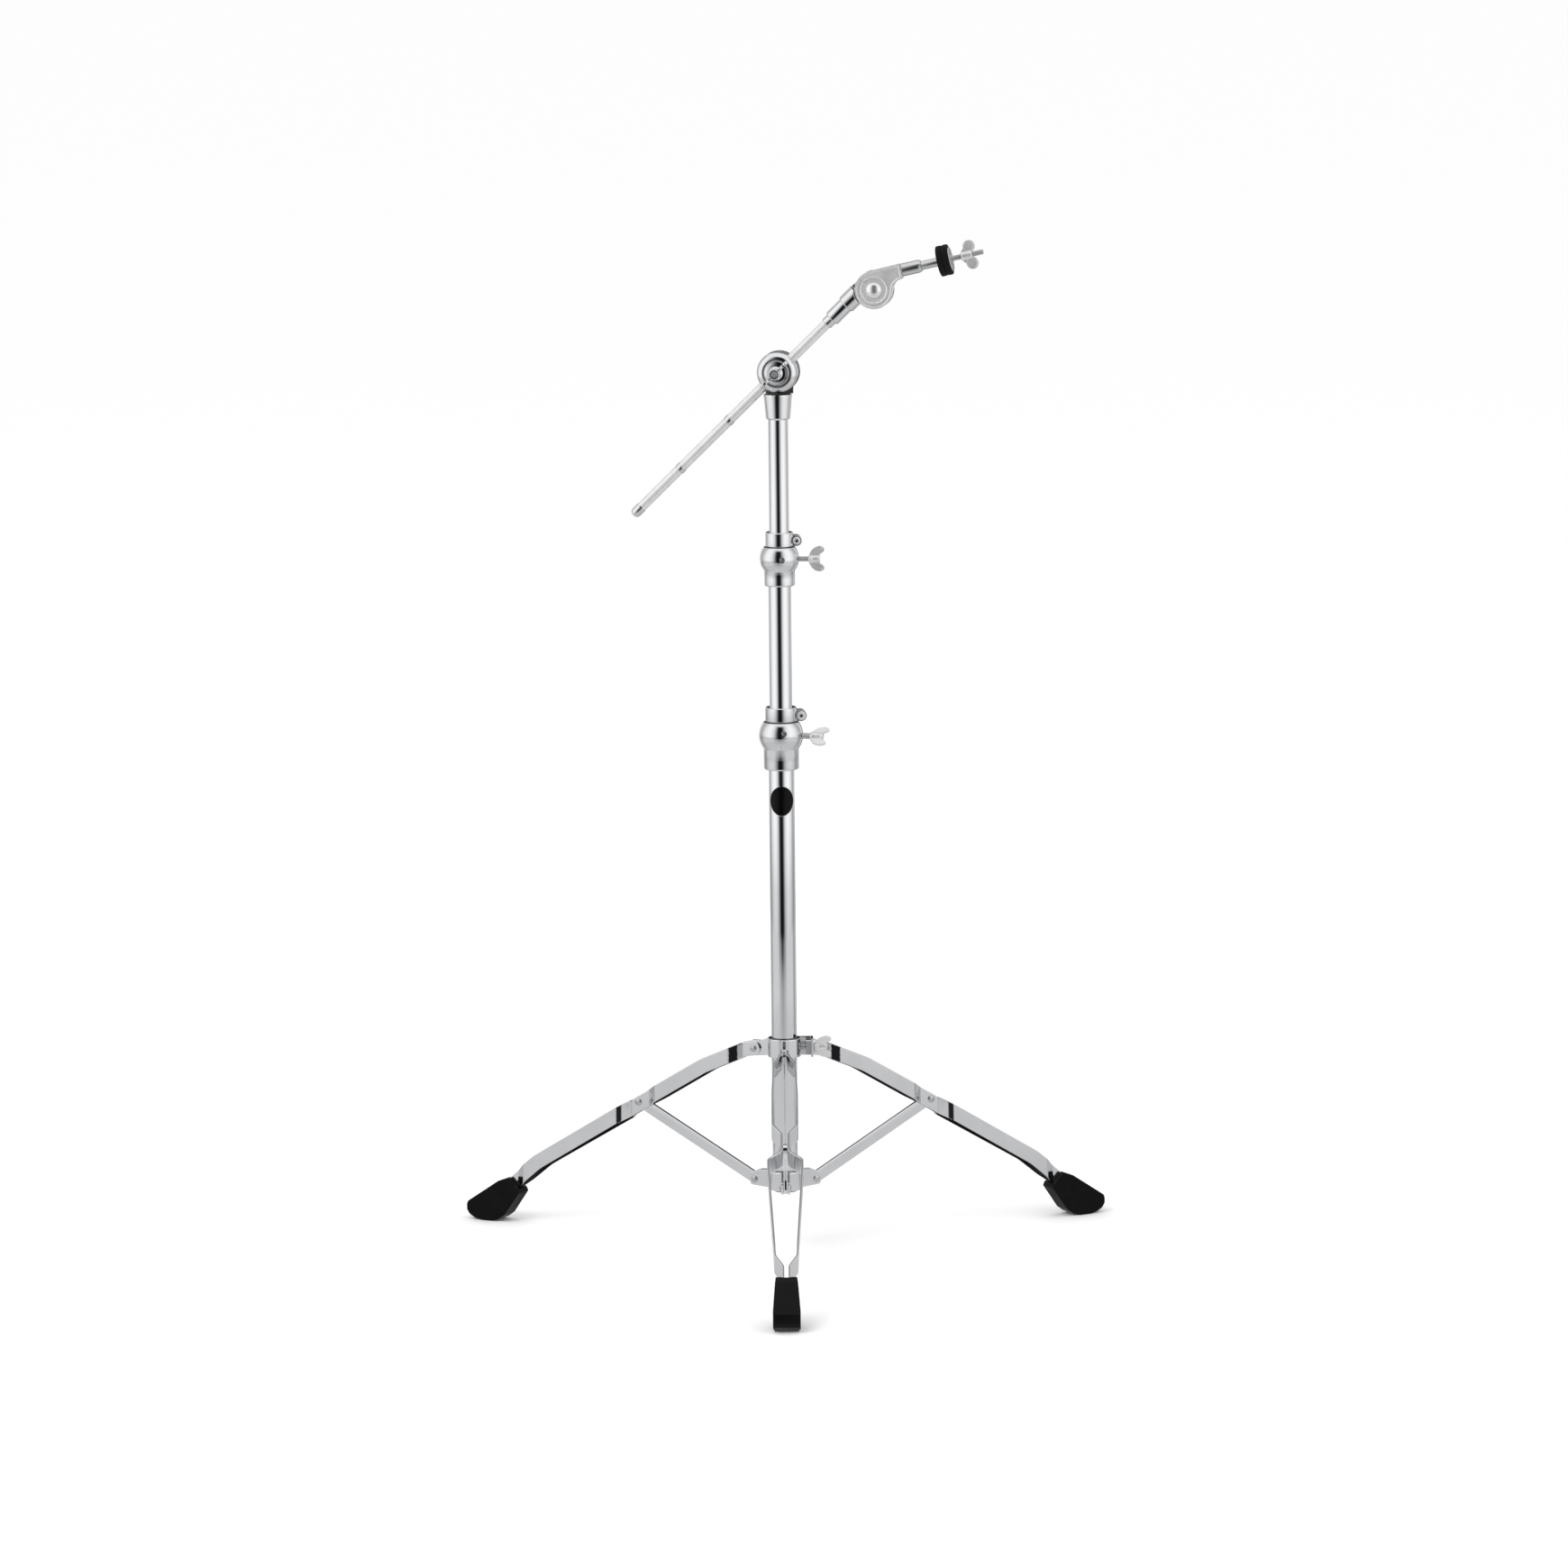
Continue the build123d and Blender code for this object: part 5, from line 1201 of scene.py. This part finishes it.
AZ_STOPS = [(0, 0.008), (7, 0.010), (13, 0.05), (20, 0.28), (28, 0.62), (36, 0.88), (48, 1.10), (60, 1.18), (72, 1.14), (90, 0.98), (106, 0.70),
            (120, 0.48), (132, 0.50), (143, 0.85), (154, 0.80), (162, 0.34), (168, 0.07), (180, 0.03)]
FLOOR_STOPS = [(0.0, 0.74), (0.6, 0.62), (1.0, 0.45), (1.35, 0.40), (1.5, 0.36), (1.7, 0.26), (1.9, 0.16), (2.1, 0.05), (2.46, 0.02)]
SIDE_STOPS = [(0.0, 0.72), (0.4, 0.66), (1.1, 0.66), (1.4, 0.76), (2.46, 0.72)]
LOW_STOPS = [(0.0, 0.65), (0.04, 0.665), (0.2, 0.74), (0.27, 0.835), (0.45, 0.98), (0.6, 1.0)]


def tent_light(x, y, z):
    az = abs(math.degrees(math.atan2(x, -y)) + 6.0)
    az = min(az, 360.0 - az)
    r = math.hypot(x, y)
    side = ramp_of(AZ_STOPS, az)
    if z < 0.02:
        front = max(0.0, 1.0 - az / 40.0)
        plain = ramp_of(SIDE_STOPS, r)
        if az > 80:
            plain = plain + (plain * min(1.0, side / 0.9) - plain) * min(1.0, r / 1.2)
        return plain + (ramp_of(FLOOR_STOPS, r) - plain) * (front ** 0.8)
    low = ramp_of(LOW_STOPS, z)
    if z > 3.0:
        f = min(1.0, (z - 3.0) / 0.9)
        side = side + (1.0 - side) * f * f * (3 - 2 * f)
    return side * low


verts, faces, values = [], [], []
rows = [(r, 0.0006) for r in (0.005, 0.2, 0.4, 0.6, 0.8, 1.0, 1.2, 1.35, 1.5, 1.6, 1.7, 1.8, 1.9, 2.0, 2.1, 2.2, 2.3, 2.42)] + [(TENT_R, 0.0006)]
rows += [(TENT_R, z) for z in (0.03, 0.1, 0.15, 0.2, 0.25, 0.3, 0.38, 0.45, 0.6, 0.8, 1.2, 1.6, 2.0, 2.5, 3.0)]
rows += [(TENT_R * math.cos(math.radians(a)), 3.0 + 1.3 * math.sin(math.radians(a))) for a in range(8, 90, 8)]
N_AZ = 180
for r, z in rows:
    for k in range(N_AZ):
        a = 2 * math.pi * k / N_AZ
        verts.append((r * math.cos(a), r * math.sin(a), z))
        values.append(tent_light(r * math.cos(a), r * math.sin(a), z))
for i in range(len(rows) - 1):
    for k in range(N_AZ):
        j = (k + 1) % N_AZ
        faces.append((i * N_AZ + k, (i + 1) * N_AZ + k, (i + 1) * N_AZ + j, i * N_AZ + j))
faces.append(tuple((len(rows) - 1) * N_AZ + k for k in range(N_AZ)))
tent_me = bpy.data.meshes.new("light_tent")
tent_me.from_pydata([(x, y + CY * MM, z) for x, y, z in verts], [], faces)
att = tent_me.color_attributes.new("light", "FLOAT_COLOR", "POINT")
for i, v in enumerate(values):
    att.data[i].color = (v, v, v * 1.005, 1)
tent = bpy.data.objects.new("light_tent", tent_me)
scene.collection.objects.link(tent)
tm = bpy.data.materials.new("tent_light")
tm.use_nodes = True
nt = tm.node_tree
nt.nodes.clear()
emit = nt.nodes.new("ShaderNodeEmission")
attr = nt.nodes.new("ShaderNodeAttribute")
attr.attribute_name = "light"
outn = nt.nodes.new("ShaderNodeOutputMaterial")
nt.links.new(attr.outputs["Color"], emit.inputs["Color"])
nt.links.new(emit.outputs["Emission"], outn.inputs["Surface"])
tent.data.materials.append(tm)
tent.visible_camera = False
tent.visible_diffuse = False
tent.visible_shadow = False
tent.visible_transmission = False
tent.visible_volume_scatter = False

world = bpy.data.worlds.new("studio_world")
scene.world = world
world.use_nodes = True
bg = world.node_tree.nodes["Background"]
bg.inputs["Color"].default_value = (1.0, 1.0, 1.0, 1)
bg.inputs["Strength"].default_value = 1.0

key_data = bpy.data.lights.new("key_softbox", "AREA")
key_data.shape = "RECTANGLE"
key_data.size, key_data.size_y = 2.4, 2.4
key_data.energy = 60.0
key = bpy.data.objects.new("key_softbox", key_data)
key.location = (-2.2, -2.6, 3.6)
key.rotation_euler = (Vector((0, 0.1, 0.6)) - key.location).to_track_quat("-Z", "Y").to_euler()
key.visible_glossy = False
scene.collection.objects.link(key)

cam_data = bpy.data.cameras.new("studio_camera")
cam_data.sensor_fit = "HORIZONTAL"
cam_data.sensor_width = 36.0
cam_data.lens = 8922.0 / 1740.0 * 36.0
cam_data.clip_start, cam_data.clip_end = 0.05, 600.0
cam = bpy.data.objects.new("studio_camera", cam_data)
cam.location = (0.0027, (CY - 9000.0) * MM, 1.967)
cam.rotation_euler = (Matrix.Rotation(math.radians(90.0 - 9.0), 4, "X") @ Matrix.Rotation(math.radians(-0.57), 4, "Z")).to_euler()
scene.collection.objects.link(cam)
scene.camera = cam
scene.view_settings.view_transform = "Standard"
scene.view_settings.look = "None"
